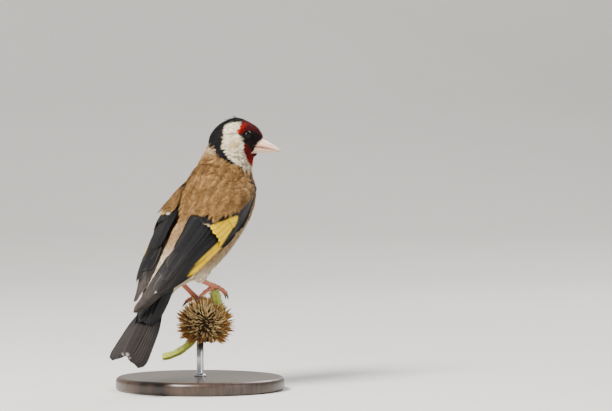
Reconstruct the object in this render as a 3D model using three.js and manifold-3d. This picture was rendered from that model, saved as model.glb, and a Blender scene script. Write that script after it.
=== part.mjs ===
// A life-size European goldfinch, perched on a dried thistle head that a plain display stand holds.
// Millimetres, +Z up, +Y is the way the body faces, +X is the bird's right. The origin is the
// centre of the stand's underside, and the bird's middle plane is x = 0.
import * as THREE from "three";
import { mergeVertices } from "three/addons/utils/BufferGeometryUtils.js";
import Module from "manifold-3d";

const wasm = await Module();
wasm.setup();

// Driving dimensions
const gap = 0.3; // between pieces that touch
const bodyPitch = 48; // degrees, the back's slope above the level
const headYaw = 56; // degrees, the head turned to the bird's right
const vaneThickness = 0.56;
const tailLength = 36.5; // root to tip of the longest tail feathers
const tailRoll = 12; // degrees, the tail's left side raised
const tarsusRadius = 0.85;
const toeRadius = 0.75;
const eyeRadius = 2.2;
const eyeOpening = 1.35; // radius of the lids' opening
const headCentre = vec(4.5, 22.3, 113.9);
const seedHeadCentre = vec(2, 1, 29.5);
const seedHeadRadius = 8.6;
const bractReach = 13.4; // from the seed head's centre to the bracts' tips
const baseRadius = 38;
const baseHeight = 6;
const rodRadius = 1.6;

const colours = {
  mantle: 0x8f6a46, neck: 0xa98b68, head: 0xd8c9b4, bill: 0xeed0be, eye: 0x17120f,
  wing: 0x2b2926, tail: 0x4b4541, thigh: 0x8c8467, leg: 0xb77a62, claw: 0x3a2b26,
  bract: 0x8a6233, stem: 0x93a84a, base: 0x2f2a26, rod: 0xb9bcc0,
};

function vec(x, y, z) {
  return new THREE.Vector3(x, y, z);
}

function curve(points) {
  return new THREE.CatmullRomCurve3(points.map((p) => vec(...p)), false, "centripetal");
}

function evenCurve(points) {
  return new THREE.CatmullRomCurve3(points.map((p) => vec(...p)), false, "catmullrom", 0.5);
}

// Seeded draws from -1 to 1, so that each build is the same.
let seed = 7;
function draw() {
  seed = (seed * 1664525 + 1013904223) % 4294967296;
  return (seed / 4294967296) * 2 - 1;
}

// A closed geometry as a solid whose faces point out.
function solidOf(geometry) {
  const bare = geometry.clone();
  bare.deleteAttribute("normal");
  bare.deleteAttribute("uv");
  const merged = mergeVertices(bare, 1e-4);
  const index = merged.index.array;
  const kept = [];
  for (let i = 0; i < index.length; i += 3) {
    const [a, b, c] = [index[i], index[i + 1], index[i + 2]];
    if (a !== b && b !== c && a !== c) kept.push(a, b, c);
  }
  const vertProperties = new Float32Array(merged.attributes.position.array);
  const make = (triVerts) => new wasm.Manifold(new wasm.Mesh({ numProp: 3, vertProperties, triVerts }));
  const solid = make(new Uint32Array(kept));
  return solid.volume() > 0 ? solid : make(new Uint32Array(kept.reverse()));
}

// A closed form with `sides` round it and `steps` along it. place(t, angle, radius) gives each
// vertex: t runs from 0 to 1 along the form, and radius is 0 at the middle of each end.
function sweep(sides, steps, place) {
  const tube = new THREE.CylinderGeometry(1, 1, 1, sides, steps);
  const spots = tube.attributes.position;
  for (let i = 0; i < spots.count; i++) {
    const radius = Math.hypot(spots.getX(i), spots.getZ(i));
    const angle = Math.atan2(spots.getX(i), spots.getZ(i));
    const spot = place(spots.getY(i) + 0.5, angle, radius);
    spots.setXYZ(i, spot.x, spot.y, spot.z);
  }
  return solidOf(tube);
}

// A round tube along a curve, whose radius at t is size(t).
function tube(path, size, sides = 8, steps = 8) {
  return sweep(sides, steps, (t, angle, radius) => {
    const along = path.getTangent(t);
    const side = vec(0, 0, 1).cross(along);
    if (side.length() < 0.1) side.set(1, 0, 0);
    side.normalize();
    const up = along.clone().cross(side);
    const reach = size(t) * radius;
    return path.getPoint(t)
      .addScaledVector(side, Math.sin(angle) * reach)
      .addScaledVector(up, Math.cos(angle) * reach);
  });
}

function ball(centre, radii, across = 24, high = 16) {
  const sphere = new THREE.SphereGeometry(1, across, high);
  sphere.scale(...radii);
  sphere.translate(centre.x, centre.y, centre.z);
  return solidOf(sphere);
}

function joined(solids) {
  return wasm.Manifold.union(solids);
}

// The part of a solid on the side of a plane that its normal points to.
function beyond(solid, point, normal) {
  const unit = normal.clone().normalize();
  return solid.trimByPlane(unit.toArray(), unit.dot(point));
}

function largest(solid) {
  return solid.decompose().sort((a, b) => b.volume() - a.volume())[0];
}

// The body: one closed form from the tail coverts to the base of the neck.
const axis = vec(0, Math.cos(bodyPitch * Math.PI / 180), Math.sin(bodyPitch * Math.PI / 180));
const right = vec(1, 0, 0);

// Along the body: the middle of each section, then its half width, back height and belly depth.
const bodyStations = [
  { at: [0, -45.5, 30.2], half: [4.6, 0.9, 0.9] },
  { at: [0, -39.5, 36.8], half: [5.2, 2.2, 2.6] },
  { at: [0, -33.2, 43.6], half: [6.2, 4.0, 5.2] },
  { at: [0, -26.2, 50.5], half: [8.8, 6.4, 7.6] },
  { at: [0, -17.7, 56.6], half: [12.0, 9.8, 9.8] },
  { at: [0, -7.2, 63.4], half: [15.2, 13.0, 12.0] },
  { at: [0, 2.8, 71.6], half: [16.9, 14.7, 13.0] },
  { at: [0, 11.6, 81.0], half: [17.4, 16.2, 14.3] },
  { at: [0, 17.2, 89.1], half: [16.2, 17.6, 14.6] },
  { at: [0, 19.6, 95.8], half: [13.2, 15.4, 12.8] },
  { at: [0, 20.8, 100.0], half: [8.5, 9.4, 9.0] },
];
const bodySpine = evenCurve(bodyStations.map((s) => s.at));
const bodySizes = evenCurve(bodyStations.map((s) => s.half));

// The body's form, or with `grow` a form that stands proud of it by that much.
function bodyForm(grow = 0) {
  return sweep(28, 24, (t, angle, radius) => {
    const along = bodySpine.getTangent(t);
    const up = vec(0, -along.z, along.y);
    const size = bodySizes.getPoint(t);
    const height = Math.cos(angle) > 0 ? size.y : size.z;
    const end = t < 0.001 ? -grow : t > 0.999 ? grow : 0;
    return bodySpine.getPoint(t)
      .addScaledVector(right, Math.sin(angle) * (size.x + grow) * radius)
      .addScaledVector(up, Math.cos(angle) * (height + grow) * radius)
      .addScaledVector(along, end);
  });
}

// The head's own directions: forward along the bill, and across to its right.
const turn = headYaw * Math.PI / 180;
const forward = vec(Math.sin(turn), Math.cos(turn), 0);
const across = vec(Math.cos(turn), -Math.sin(turn), 0);
const up = vec(0, 0, 1);

function onHead(ahead, high, side = 0) {
  return headCentre.clone()
    .addScaledVector(forward, ahead)
    .addScaledVector(up, high)
    .addScaledVector(across, side);
}

// From the nape to the base of the bill: how far ahead, half width, top and bottom.
const headStations = [
  { ahead: -12.1, half: 1.6, top: -1.4, bottom: -4.6 },
  { ahead: -10.9, half: 4.6, top: 1.6, bottom: -7.6 },
  { ahead: -7.8, half: 7.2, top: 5.2, bottom: -9.8 },
  { ahead: -3.4, half: 8.6, top: 7.7, bottom: -10.8 },
  { ahead: 0.8, half: 8.6, top: 8.5, bottom: -10.9 },
  { ahead: 5.2, half: 7.7, top: 6.7, bottom: -10.2 },
  { ahead: 9.0, half: 5.7, top: 4.5, bottom: -8.8 },
  { ahead: 11.8, half: 3.6, top: 0.7, bottom: -7.4 },
  { ahead: 12.8, half: 3.0, top: -1.0, bottom: -6.6 },
];
const headLine = evenCurve(headStations.map((s) => [s.ahead, s.half, 0]));
const headRim = evenCurve(headStations.map((s) => [s.top, s.bottom, 0]));

function headForm() {
  return sweep(22, 15, (t, angle, radius) => {
    const { x: ahead, y: half } = headLine.getPoint(t);
    const { x: top, y: bottom } = headRim.getPoint(t);
    const middle = (top + bottom) / 2;
    const high = middle + Math.cos(angle) * radius * (top - bottom) / 2;
    return onHead(ahead, high, Math.sin(angle) * radius * half);
  });
}

// The neck turns with the head: middle, half width and half depth, and how far it has turned.
const neckStations = [
  { at: [0, 17.6, 91.0], half: [13.6, 13.0], yaw: 0 },
  { at: [0.4, 19.4, 97.6], half: [12.9, 12.3], yaw: 14 },
  { at: [1.4, 20.6, 103.0], half: [10.4, 11.4], yaw: 36 },
  { at: [2.6, 21.4, 108.5], half: [8.4, 10.4], yaw: 56 },
];
const neckSpine = evenCurve(neckStations.map((s) => s.at));
const neckSizes = evenCurve(neckStations.map((s) => [...s.half, s.yaw]));

function neckForm() {
  return sweep(24, 9, (t, angle, radius) => {
    const size = neckSizes.getPoint(t);
    const yaw = size.z * Math.PI / 180;
    const lean = THREE.MathUtils.lerp(0.62, 0.1, t);
    const ahead = vec(Math.sin(yaw), Math.cos(yaw), -lean).normalize();
    const side = vec(Math.cos(yaw), -Math.sin(yaw), 0);
    return neckSpine.getPoint(t)
      .addScaledVector(side, Math.sin(angle - yaw) * radius * size.x)
      .addScaledVector(ahead, Math.cos(angle - yaw) * radius * size.y);
  });
}

// Thin cuts part the whole bird into tail coverts, torso, neck and head.
const tailCut = vec(0, -34.6, 42.2);
const neckCut = vec(0, 19, 94.2);
const neckCutNormal = vec(0, 0.42, 0.9);
const headCut = onHead(0, -10.1);
const headCutNormal = forward.clone().multiplyScalar(0.42).addScaledVector(up, 0.907);

function partedBody() {
  const whole = joined([bodyForm(), neckForm(), headForm()]);
  const back = (normal) => normal.clone().negate();
  const shifted = (point, normal) => point.clone().addScaledVector(normal.clone().normalize(), gap);
  const coverts = beyond(bodyForm(), tailCut, back(axis));
  const torso = beyond(beyond(whole, shifted(tailCut, axis), axis), neckCut, back(neckCutNormal));
  const neck = beyond(whole, shifted(neckCut, neckCutNormal), neckCutNormal);
  const head = beyond(whole, shifted(headCut, headCutNormal), headCutNormal);
  return {
    coverts: largest(coverts),
    torso: largest(torso),
    neck: largest(beyond(neck, headCut, back(headCutNormal))),
    head: largest(head),
  };
}

// The bill: two cones with a level cut between them, which is the line of the mouth.
const billPlane = 11.58;
const billNormal = vec(0.917, 0, -0.4);
const billTip = { ahead: 20.8, high: -7.0 };
const mouthCorner = { ahead: 8.4, high: -4.7 };

function mandible(top, bottom, halfWidth, reach, sag) {
  return sweep(14, 8, (t, angle, radius) => {
    const ahead = THREE.MathUtils.lerp(7.5, reach, t);
    const fade = Math.pow(1 - t, 0.86);
    const mouth = THREE.MathUtils.lerp(mouthCorner.high + 0.35, billTip.high, t) + sag * Math.sin(Math.PI * t);
    const high = mouth + (Math.cos(angle) > 0 ? top : bottom) * Math.cos(angle) * radius * Math.max(fade, 0.04);
    return onHead(ahead, high, Math.sin(angle) * radius * halfWidth * Math.max(fade, 0.05));
  });
}

function billBase(solid) {
  const normal = forward.clone().multiplyScalar(billNormal.x).addScaledVector(up, billNormal.z);
  return beyond(solid, headCentre.clone().addScaledVector(normal, billPlane + gap), normal);
}

function bill() {
  const nostril = (side) => ball(onHead(13.2, -2.3, side * 2.75), [0.55, 0.55, 0.4], 8, 6);
  const upper = mandible(5.5, 0.1, 5.0, billTip.ahead, 0.35).subtract(joined([nostril(1), nostril(-1)]));
  const lower = mandible(0.1, 3.6, 4.7, billTip.ahead - 1.1, 0.35).translate([0, 0, -gap]);
  return { upper: largest(billBase(upper)), lower: largest(billBase(lower)) };
}

// Eyes are balls set in sockets, with a raised ring of lids round each.
const eyeSpot = { ahead: 5.04, high: 0.6, side: 5.8 };

function eyeAt(side) {
  return onHead(eyeSpot.ahead, eyeSpot.high, side * eyeSpot.side);
}

function lids(side) {
  const ring = new THREE.TorusGeometry(eyeOpening + 0.42, 0.6, 5, 12).scale(1, 1, 0.6);
  const outward = across.clone().multiplyScalar(side).addScaledVector(forward, 0.24).normalize();
  ring.applyQuaternion(new THREE.Quaternion().setFromUnitVectors(vec(0, 0, 1), outward));
  const spot = eyeAt(side).addScaledVector(outward, Math.sqrt(eyeRadius ** 2 - eyeOpening ** 2) - 0.15);
  return solidOf(ring.translate(spot.x, spot.y, spot.z));
}

function headWithSockets(head) {
  const sockets = [-1, 1].map((side) => ball(eyeAt(side), Array(3).fill(eyeRadius + gap), 12, 8));
  const normal = forward.clone().multiplyScalar(billNormal.x).addScaledVector(up, billNormal.z);
  const face = beyond(head, headCentre.clone().addScaledVector(normal, billPlane), normal.negate());
  return largest(joined([face, lids(1), lids(-1)]).subtract(joined(sockets)));
}

// A folded wing lies between its leading edge and its inner edge, from the bend to the tips.
const rightWing = {
  leading: curve([[16.2, 17.6, 86], [17.8, 7, 75.4], [16.8, -6, 66.4], [11.6, -25.6, 54],
    [7.4, -35, 47.4], [2.8, -43.4, 41], [-1.2, -48.3, 36.4]]),
  inner: curve([[13.6, 11, 94], [9.2, -2.5, 88], [5.4, -12.6, 79.4], [4.6, -23.6, 67.6],
    [3.2, -38.6, 53], [1, -45, 44.5], [-1.8, -48.9, 38.2]]),
  bulge: 6.4,
};
const leftWing = {
  leading: curve([[-16.2, 17.6, 86], [-17.8, 7, 75.4], [-17.2, -6, 66.4], [-13.6, -23.4, 54.6],
    [-10.6, -31, 49.4], [-7.6, -38, 44.4], [-5.4, -43, 41]]),
  inner: curve([[-13.6, 11, 94], [-9.2, -2.5, 88], [-5.4, -12.6, 79.4], [-4.8, -21, 67.2],
    [-2.6, -35.6, 53], [-2.6, -40.4, 47.4], [-4.6, -43.8, 42.6]]),
  bulge: 5.4,
};

// A spot on a wing: s from the bend to the tip, k from the leading edge to the inner edge, and
// its height above the wing's middle surface. side is 1 on the right wing and -1 on the left.
function onWing(wing, side, s, k, height) {
  const low = wing.leading.getPoint(s);
  const high = wing.inner.getPoint(s);
  const along = wing.leading.getTangent(s).add(wing.inner.getTangent(s)).normalize();
  const outward = high.clone().sub(low).cross(along).multiplyScalar(side).normalize();
  const bulge = wing.bulge * Math.min(1, 0.3 + 3.2 * s) * Math.pow(1 - s, 0.75) + 0.5;
  return low.lerp(high, k).addScaledVector(outward, bulge * Math.sin(Math.PI * k) + height);
}

// The wing's core: the arm and the small coverts over it, thick at the bend and thin behind.
function wingCore(wing, side) {
  return sweep(12, 9, (t, angle, radius) => {
    const s = t * 0.7;
    const k = 0.5 + Math.cos(angle) * radius * 0.47 * Math.min(1, 0.55 + 3 * t);
    const round = Math.sin(angle) * radius * Math.min(1, 0.4 + 6 * t);
    return onWing(wing, side, s, k, round * (round > 0 ? 1.3 : 1.9) * coreThickness(s));
  });
}

// A vane is a thin blade with a box section, widest past its middle and rounded at its tip.
// spot(t, across) gives a place on its upper middle surface, across in millimetres.
function vane(spot, halfWidth, steps = 5) {
  return sweep(4, steps, (t, angle, radius) => {
    const t2 = 1 - Math.pow(1 - t, 1.35);
    const swell = Math.min(1, 0.45 + 0.9 * t2) * Math.sqrt(Math.max(0, 1 - Math.pow(t2, 7)));
    const side = Math.sign(Math.sin(angle + Math.PI / 4)) * radius;
    const face = Math.sign(Math.cos(angle + Math.PI / 4)) * radius;
    const thick = vaneThickness * (1 - 0.45 * Math.pow(t2, 4)) / 2;
    return spot(t2, side * halfWidth * Math.max(swell, 0.14), face * thick);
  });
}

// The folded wing's tiers, from the lowest to the topmost. Each goes from its first feather by the
// leading edge to its last by the inner edge: where it roots and ends along and across the wing,
// its half width and its height over the core.
const wingTiers = [
  { count: 6, root: [0.42, 0.2, 0.4, 0.6], tip: [0.99, 0.44, 0.8, 0.86], half: [2.7, 3.4], lift: [-0.9, 0.5] },
  { count: 4, root: [0.34, 0.24, 0.3, 0.84], tip: [0.72, 0.2, 0.6, 0.84], half: [3.6, 3.8], lift: [0.5, 1.7] },
  { count: 4, root: [0.16, 0.22, 0.16, 0.78], tip: [0.43, 0.18, 0.38, 0.82], half: [3.9, 3.8], lift: [1.1, 2.3] },
  { count: 3, root: [0.07, 0.3, 0.07, 0.7], tip: [0.25, 0.24, 0.23, 0.78], half: [4.4, 4.1], lift: [1.5, 2.5] },
];
const shingle = -0.07; // each vane's slant across, so that its far edge lies over the next

function coreThickness(s) {
  return THREE.MathUtils.lerp(1.9, 0.4, Math.pow(Math.min(1, s), 0.7));
}

function wingVanes(wing, side) {
  const mix = (from, to, share) => THREE.MathUtils.lerp(from, to, share);
  return wingTiers.flatMap(({ count, root, tip, half, lift }) => Array.from({ length: count }, (_, i) => {
    const share = i / (count - 1);
    const start = [mix(root[0], root[2], share), mix(root[1], root[3], share)];
    const end = [mix(tip[0], tip[2], Math.pow(share, 0.8)) + 0.006 * draw(), mix(tip[1], tip[3], share)];
    const halfWidth = mix(...half, share) * (1 + 0.04 * draw());
    return vane((t, offset, face) => {
      const s = mix(start[0], end[0], t);
      const span = wing.leading.getPoint(s).distanceTo(wing.inner.getPoint(s));
      const k = mix(start[1], end[1], t) + offset / span;
      const sink = 1.3 * Math.pow(1 - t, 3);
      const height = coreThickness(s) * 0.7 + mix(...lift, share) - sink + shingle * offset + face;
      return onWing(wing, side, s, THREE.MathUtils.clamp(k, -0.04, 1.04), height);
    }, halfWidth, 3);
  }));
}

function wings(wholeBody) {
  const clear = joined([wholeBody, ...tailForms(gap)]);
  const wing = (shape, side) => largest(joined([wingCore(shape, side), ...wingVanes(shape, side)]).subtract(clear));
  return { left: wing(leftWing, -1), right: wing(rightWing, 1) };
}

// The tail: its middle line runs down and back from the coverts, and its left side is raised.
const tailRoot = vec(0, -31.5, 43.8);
const tailAxis = vec(0, -0.665, -0.747);
const tailNormal = vec(0, -0.747, 0.665);
const roll = tailRoll * Math.PI / 180;
const tailRight = vec(Math.cos(roll), 0, 0).addScaledVector(tailNormal, -Math.sin(roll));
const tailUp = tailNormal.clone().multiplyScalar(Math.cos(roll)).addScaledVector(right, Math.sin(roll));

function onTail(along, side, height) {
  return tailRoot.clone()
    .addScaledVector(tailAxis, along)
    .addScaledVector(tailRight, side)
    .addScaledVector(tailUp, height);
}

// The tail's envelope, in its two lobes, which the wings are cut clear of.
function tailForms(grow = 0) {
  return [-1, 1].map((side) => sweep(10, 6, (t, angle, radius) => {
    const along = t * (tailLength + grow) + 1;
    const middle = side * THREE.MathUtils.lerp(1.2, 4.9, t);
    const half = THREE.MathUtils.lerp(2.6, 4.9, Math.pow(t, 0.7)) + grow;
    return onTail(along, middle + Math.cos(angle) * radius * half, Math.sin(angle) * radius * (1.5 + grow));
  }));
}

// Twelve tail feathers, the middle pair on top and the outermost, which are longest, lowest.
const rectrixCount = 12;
const tailFork = 3.2; // how much shorter the middle feathers are

function rectrix(index) {
  const place = index - (rectrixCount - 1) / 2;
  const outward = Math.abs(place) / ((rectrixCount - 1) / 2);
  const length = tailLength - tailFork * Math.pow(1 - outward, 1.3) + 0.4 * draw() + (place > 0 ? 0.8 : -0.8);
  const height = 0.95 - 1.9 * outward + (place > 0 ? 0.14 : 0);
  return vane((t, offset, face) => {
    const side = place * THREE.MathUtils.lerp(0.42, 1.24, Math.pow(t, 0.8)) + offset;
    const tilt = -0.1 * Math.sign(place) * offset;
    return onTail(1 + t * length, side, height + tilt + face);
  }, 3.3);
}

function tail(coverts) {
  const feathers = Array.from({ length: rectrixCount }, (_, i) => rectrix(i));
  const forms = beyond(joined(feathers), tailCut, axis.clone().negate());
  return largest(joined([forms, coverts]));
}

// Legs: feathered thigh, scaled tarsus, four toes and their claws.
const legs = {
  right: { hip: vec(7.4, -5.0, 60.0), ankle: vec(6.2, -9.8, 50.4), foot: vec(6.0, 3.0, 46.6) },
  left: { hip: vec(-7.4, -3.5, 59.5), ankle: vec(-6.2, -7.6, 49.4), foot: vec(-4.4, 3.2, 41.0) },
};
const toes = {
  right: [
    { tip: [9.6, 6.9, 43.4], claw: [10.2, 7.4, 40.4] },
    { tip: [7.2, 8.6, 43.6], claw: [7.4, 9.6, 40.4] },
    { tip: [3.6, 8.2, 43.4], claw: [3.0, 9.0, 40.6] },
    { tip: [3.2, -4.0, 42.4], claw: [2.2, -6.6, 40.2] },
  ],
  left: [
    { tip: [-7.8, 7.8, 38.0], claw: [-8.8, 8.4, 35.6] },
    { tip: [-4.2, 9.4, 38.2], claw: [-4.4, 11.0, 35.6] },
    { tip: [-0.8, 8.4, 39.4], claw: [0.2, 9.8, 37.4] },
    { tip: [-5.2, -3.4, 39.6], claw: [-5.8, -5.8, 37.4] },
  ],
};

function thigh(side) {
  const { hip, ankle } = legs[side];
  const path = new THREE.LineCurve3(hip, ankle);
  const form = tube(path, (t) => THREE.MathUtils.lerp(4.8, 2.0, t), 12, 4);
  return largest(form.subtract(joined([bodyForm(gap), tarsusForm(side, gap)])));
}

function tarsusForm(side, grow = 0) {
  const { ankle, foot } = legs[side];
  const along = foot.clone().sub(ankle).normalize();
  const start = ankle.clone().addScaledVector(along, -0.6 - grow);
  const path = new THREE.LineCurve3(start, foot);
  return tube(path, (t) => tarsusRadius * (1 + 0.35 * Math.pow(Math.abs(2 * t - 1), 3)) + grow, 10, 7);
}

function tarsus(side) {
  const ankleBall = ball(legs[side].foot, [1.55, 1.55, 1.4], 10, 8);
  const cutters = [bodyForm(gap), ankleBall, ...toes[side].map((spec) => toe(side, spec, gap))];
  return largest(tarsusForm(side).subtract(joined(cutters)));
}

function toePath(side, toe) {
  const { foot } = legs[side];
  const tip = vec(...toe.tip);
  const knuckle = foot.clone().lerp(tip, 0.55).add(vec(0, 0, 1.0));
  return new THREE.QuadraticBezierCurve3(foot, knuckle, tip);
}

function toe(side, spec, grow = 0) {
  return tube(toePath(side, spec), (t) => toeRadius * (1.15 - 0.3 * t) + grow, 7, 5);
}

// A claw starts at its toe's flat end, a gap away.
function claw(side, spec, grow = 0) {
  const path = toePath(side, spec);
  const start = path.getPoint(1).addScaledVector(path.getTangent(1), gap - grow);
  const tip = vec(...spec.claw);
  const bend = start.clone().lerp(tip, 0.4).addScaledVector(path.getTangent(1), 0.7);
  const arc = new THREE.QuadraticBezierCurve3(start, bend, tip);
  return tube(arc, (t) => THREE.MathUtils.lerp(0.55, 0.12, t) + grow, 6, 4);
}

function foot(side) {
  const { foot: centre } = legs[side];
  return joined([ball(centre, [1.25, 1.25, 1.1], 10, 8), ...toes[side].map((spec) => toe(side, spec))]);
}

// What the perch is cut clear of: both feet and their claws, grown by the gap.
function footClearance() {
  return joined(["left", "right"].flatMap((side) => [
    ball(legs[side].foot, [1.55, 1.55, 1.4], 10, 8),
    ...toes[side].map((spec) => toe(side, spec, gap)),
    ...toes[side].map((spec) => claw(side, spec, gap)),
  ]));
}

// The perch: a dried thistle head with pointed bracts, the green stub on top and its cut stem.
const bractRings = 8;
const seedHeadFloor = 21.5;

// A bract leaves the head on a slant towards its crown, then bends out to a point.
function bract(direction, reach) {
  const side = vec(0, 0, 1).cross(direction).normalize();
  const flat = direction.clone().cross(side).normalize();
  const start = seedHeadCentre.clone().addScaledVector(direction, seedHeadRadius * 0.72);
  const spots = [start, start.clone().addScaledVector(direction, 3.4).addScaledVector(flat, -1.3),
    seedHeadCentre.clone().addScaledVector(direction, reach).addScaledVector(flat, -0.8)];
  return sweep(4, 2, (t, angle, radius) => {
    const step = Math.round(t * 2);
    const width = [1.7, 1.35, 0][step] * radius;
    const thick = [0.8, 0.5, 0][step] * radius;
    return spots[step].clone()
      .addScaledVector(side, Math.sin(angle) * width)
      .addScaledVector(flat, Math.cos(angle) * thick);
  });
}

function bracts() {
  const all = [];
  for (let ring = 1; ring < bractRings; ring++) {
    const polar = Math.PI * (0.04 + 0.76 * ring / bractRings);
    const count = Math.round(11 * Math.sin(polar));
    for (let i = 0; i < count; i++) {
      const round = (i + (ring % 2) / 2 + 0.18 * draw()) * 2 * Math.PI / count;
      const tilt = polar + 0.05 * draw();
      const direction = vec(Math.sin(tilt) * Math.cos(round), Math.sin(tilt) * Math.sin(round), Math.cos(tilt));
      all.push(bract(direction, bractReach + 0.8 * draw()));
    }
  }
  return all;
}

const stubPath = new THREE.LineCurve3(vec(7.0, 5.4, 33.5), vec(5.8, 2.8, 45.2));
const stemPath = new THREE.QuadraticBezierCurve3(vec(-2.6, -1.6, 22.5), vec(-8, -4.5, 15.5), vec(-15, -8, 14.6));

function perch() {
  const core = ball(seedHeadCentre, Array(3).fill(seedHeadRadius), 16, 10);
  const floor = vec(0, 0, seedHeadFloor);
  const clear = footClearance();
  const stub = tube(stubPath, (t) => 2.1 + 0.25 * Math.cos(9 * t), 12, 5).subtract(clear);
  const stem = tube(stemPath, () => 1.6, 10, 10);
  const cutters = [clear, tube(stubPath, (t) => 2.1 + 0.25 * Math.cos(9 * t) + gap, 12, 5),
    tube(stemPath, () => 1.6 + gap, 10, 10)];
  const head = beyond(joined([core, ...bracts()]), floor, vec(0, 0, 1)).subtract(joined(cutters));
  return { head: largest(head), stub: largest(stub), stem };
}

// The stand: a turned disc with a rounded rim, and one rod up to the thistle head.
function standBase() {
  const rim = new THREE.Path();
  rim.moveTo(0, 0);
  rim.lineTo(baseRadius - 0.8, 0);
  rim.lineTo(baseRadius, 0.8);
  rim.lineTo(baseRadius, baseHeight - 2);
  rim.absarc(baseRadius - 2, baseHeight - 2, 2, 0, Math.PI / 2, false);
  rim.lineTo(0, baseHeight);
  return solidOf(new THREE.LatheGeometry(rim.getPoints(3), 48).rotateX(Math.PI / 2));
}

function standRod() {
  const length = seedHeadFloor - baseHeight - 2 * gap;
  const rod = new THREE.CylinderGeometry(rodRadius, rodRadius, length, 24).rotateX(Math.PI / 2);
  return solidOf(rod.translate(0, 0, baseHeight + gap + length / 2));
}

const group = new THREE.Group();

function add(name, solid, color, roughness = 0.85, metalness = 0) {
  const made = solid.getMesh();
  const geometry = new THREE.BufferGeometry();
  geometry.setAttribute("position", new THREE.BufferAttribute(new Float32Array(made.vertProperties), 3));
  geometry.setIndex(new THREE.BufferAttribute(new Uint32Array(made.triVerts), 1));
  geometry.computeVertexNormals();
  const mesh = new THREE.Mesh(geometry, new THREE.MeshStandardMaterial({ color, roughness, metalness }));
  mesh.name = name;
  group.add(mesh);
}

const parted = partedBody();
const grownBody = joined([bodyForm(gap), neckForm()]);
const flight = wings(grownBody);
const mouth = bill();
const thistle = perch();

add("torso", parted.torso, colours.mantle);
add("neck", parted.neck, colours.neck);
add("head", headWithSockets(parted.head), colours.head);
add("bill_upper", mouth.upper, colours.bill, 0.45);
add("bill_lower", mouth.lower, colours.bill, 0.45);
add("wing_left", flight.left, colours.wing, 0.6);
add("wing_right", flight.right, colours.wing, 0.6);
add("tail", tail(parted.coverts), colours.tail, 0.6);
for (const [side, sign] of [["left", -1], ["right", 1]]) {
  add(`eye_${side}`, ball(eyeAt(sign), Array(3).fill(eyeRadius), 16, 10), colours.eye, 0.1);
  add(`thigh_${side}`, thigh(side), colours.thigh);
  add(`tarsus_${side}`, tarsus(side), colours.leg, 0.6);
  add(`foot_${side}`, foot(side), colours.leg, 0.6);
  toes[side].forEach((spec, i) => add(`claw_${side}_${i + 1}`, claw(side, spec), colours.claw, 0.4));
}
add("perch_head", thistle.head, colours.bract, 0.9);
add("perch_stub", thistle.stub, colours.stem, 0.8);
add("perch_stem", thistle.stem, colours.stem, 0.8);
add("stand_rod", standRod(), colours.rod, 0.3, 1);
add("stand_base", standBase(), colours.base, 0.5);

export default group;
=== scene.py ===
import math
import bpy
import numpy as np
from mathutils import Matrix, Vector
from mathutils.bvhtree import BVHTree


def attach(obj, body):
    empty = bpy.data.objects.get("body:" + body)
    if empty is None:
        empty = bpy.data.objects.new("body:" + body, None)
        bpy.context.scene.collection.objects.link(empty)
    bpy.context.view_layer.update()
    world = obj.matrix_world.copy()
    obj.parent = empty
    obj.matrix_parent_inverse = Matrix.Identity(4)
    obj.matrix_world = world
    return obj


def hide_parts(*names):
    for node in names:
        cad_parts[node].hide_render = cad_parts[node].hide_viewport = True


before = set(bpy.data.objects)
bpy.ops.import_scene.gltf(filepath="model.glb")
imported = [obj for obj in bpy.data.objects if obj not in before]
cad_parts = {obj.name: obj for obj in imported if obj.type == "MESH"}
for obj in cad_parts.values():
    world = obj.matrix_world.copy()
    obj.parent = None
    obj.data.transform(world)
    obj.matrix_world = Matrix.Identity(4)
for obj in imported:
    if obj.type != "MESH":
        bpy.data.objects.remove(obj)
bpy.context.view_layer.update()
dice = np.random.default_rng(11)
mm = 0.001
upward = np.array([0.0, 0.0, 1.0])
backward = np.array([0, -0.67, -0.74])  # down the bird's back to its tail
offBack = np.array([0, -0.74, 0.67])  # out of the back, square to backward
# as the camera sees it
picture = {"right": np.array([0.829, 0.559, 0]), "away": np.array([-0.559, 0.829, 0]),
    "x": 200, "y": 390, "pixel": 0.45}  # where the frame's origin falls, and millimetres to a pixel


def unit(v):
    v = np.asarray(v, float)
    return v / np.maximum(np.linalg.norm(v, axis=-1, keepdims=True), 1e-12)


def ease(low, high, x):
    # 0 at low and 1 at high, with a smooth rise between
    t = np.clip((np.asarray(x, float) - low) / (high - low), 0, 1)
    return t * t * (3 - 2 * t)


def bell(x):
    return np.exp(-x ** 2)


def mix(a, b, share):
    share = np.asarray(share, float)
    return a + (b - a) * (share[..., None] if np.ndim(a) > 0 or np.ndim(b) > 0 else share)


def paintOver(paint, palette, layers):
    # each layer is a colour's name in the palette and how much of it covers
    for name, share in layers:
        paint = mix(paint, palette[name], share)
    return paint


def tone(red, green, blue):  # screen colour, 0 to 255, as the linear colour that shaders take
    c = np.array([red, green, blue], float) / 255
    return np.where(c <= 0.04045, c / 12.92, ((c + 0.055) / 1.055) ** 2.4)


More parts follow.
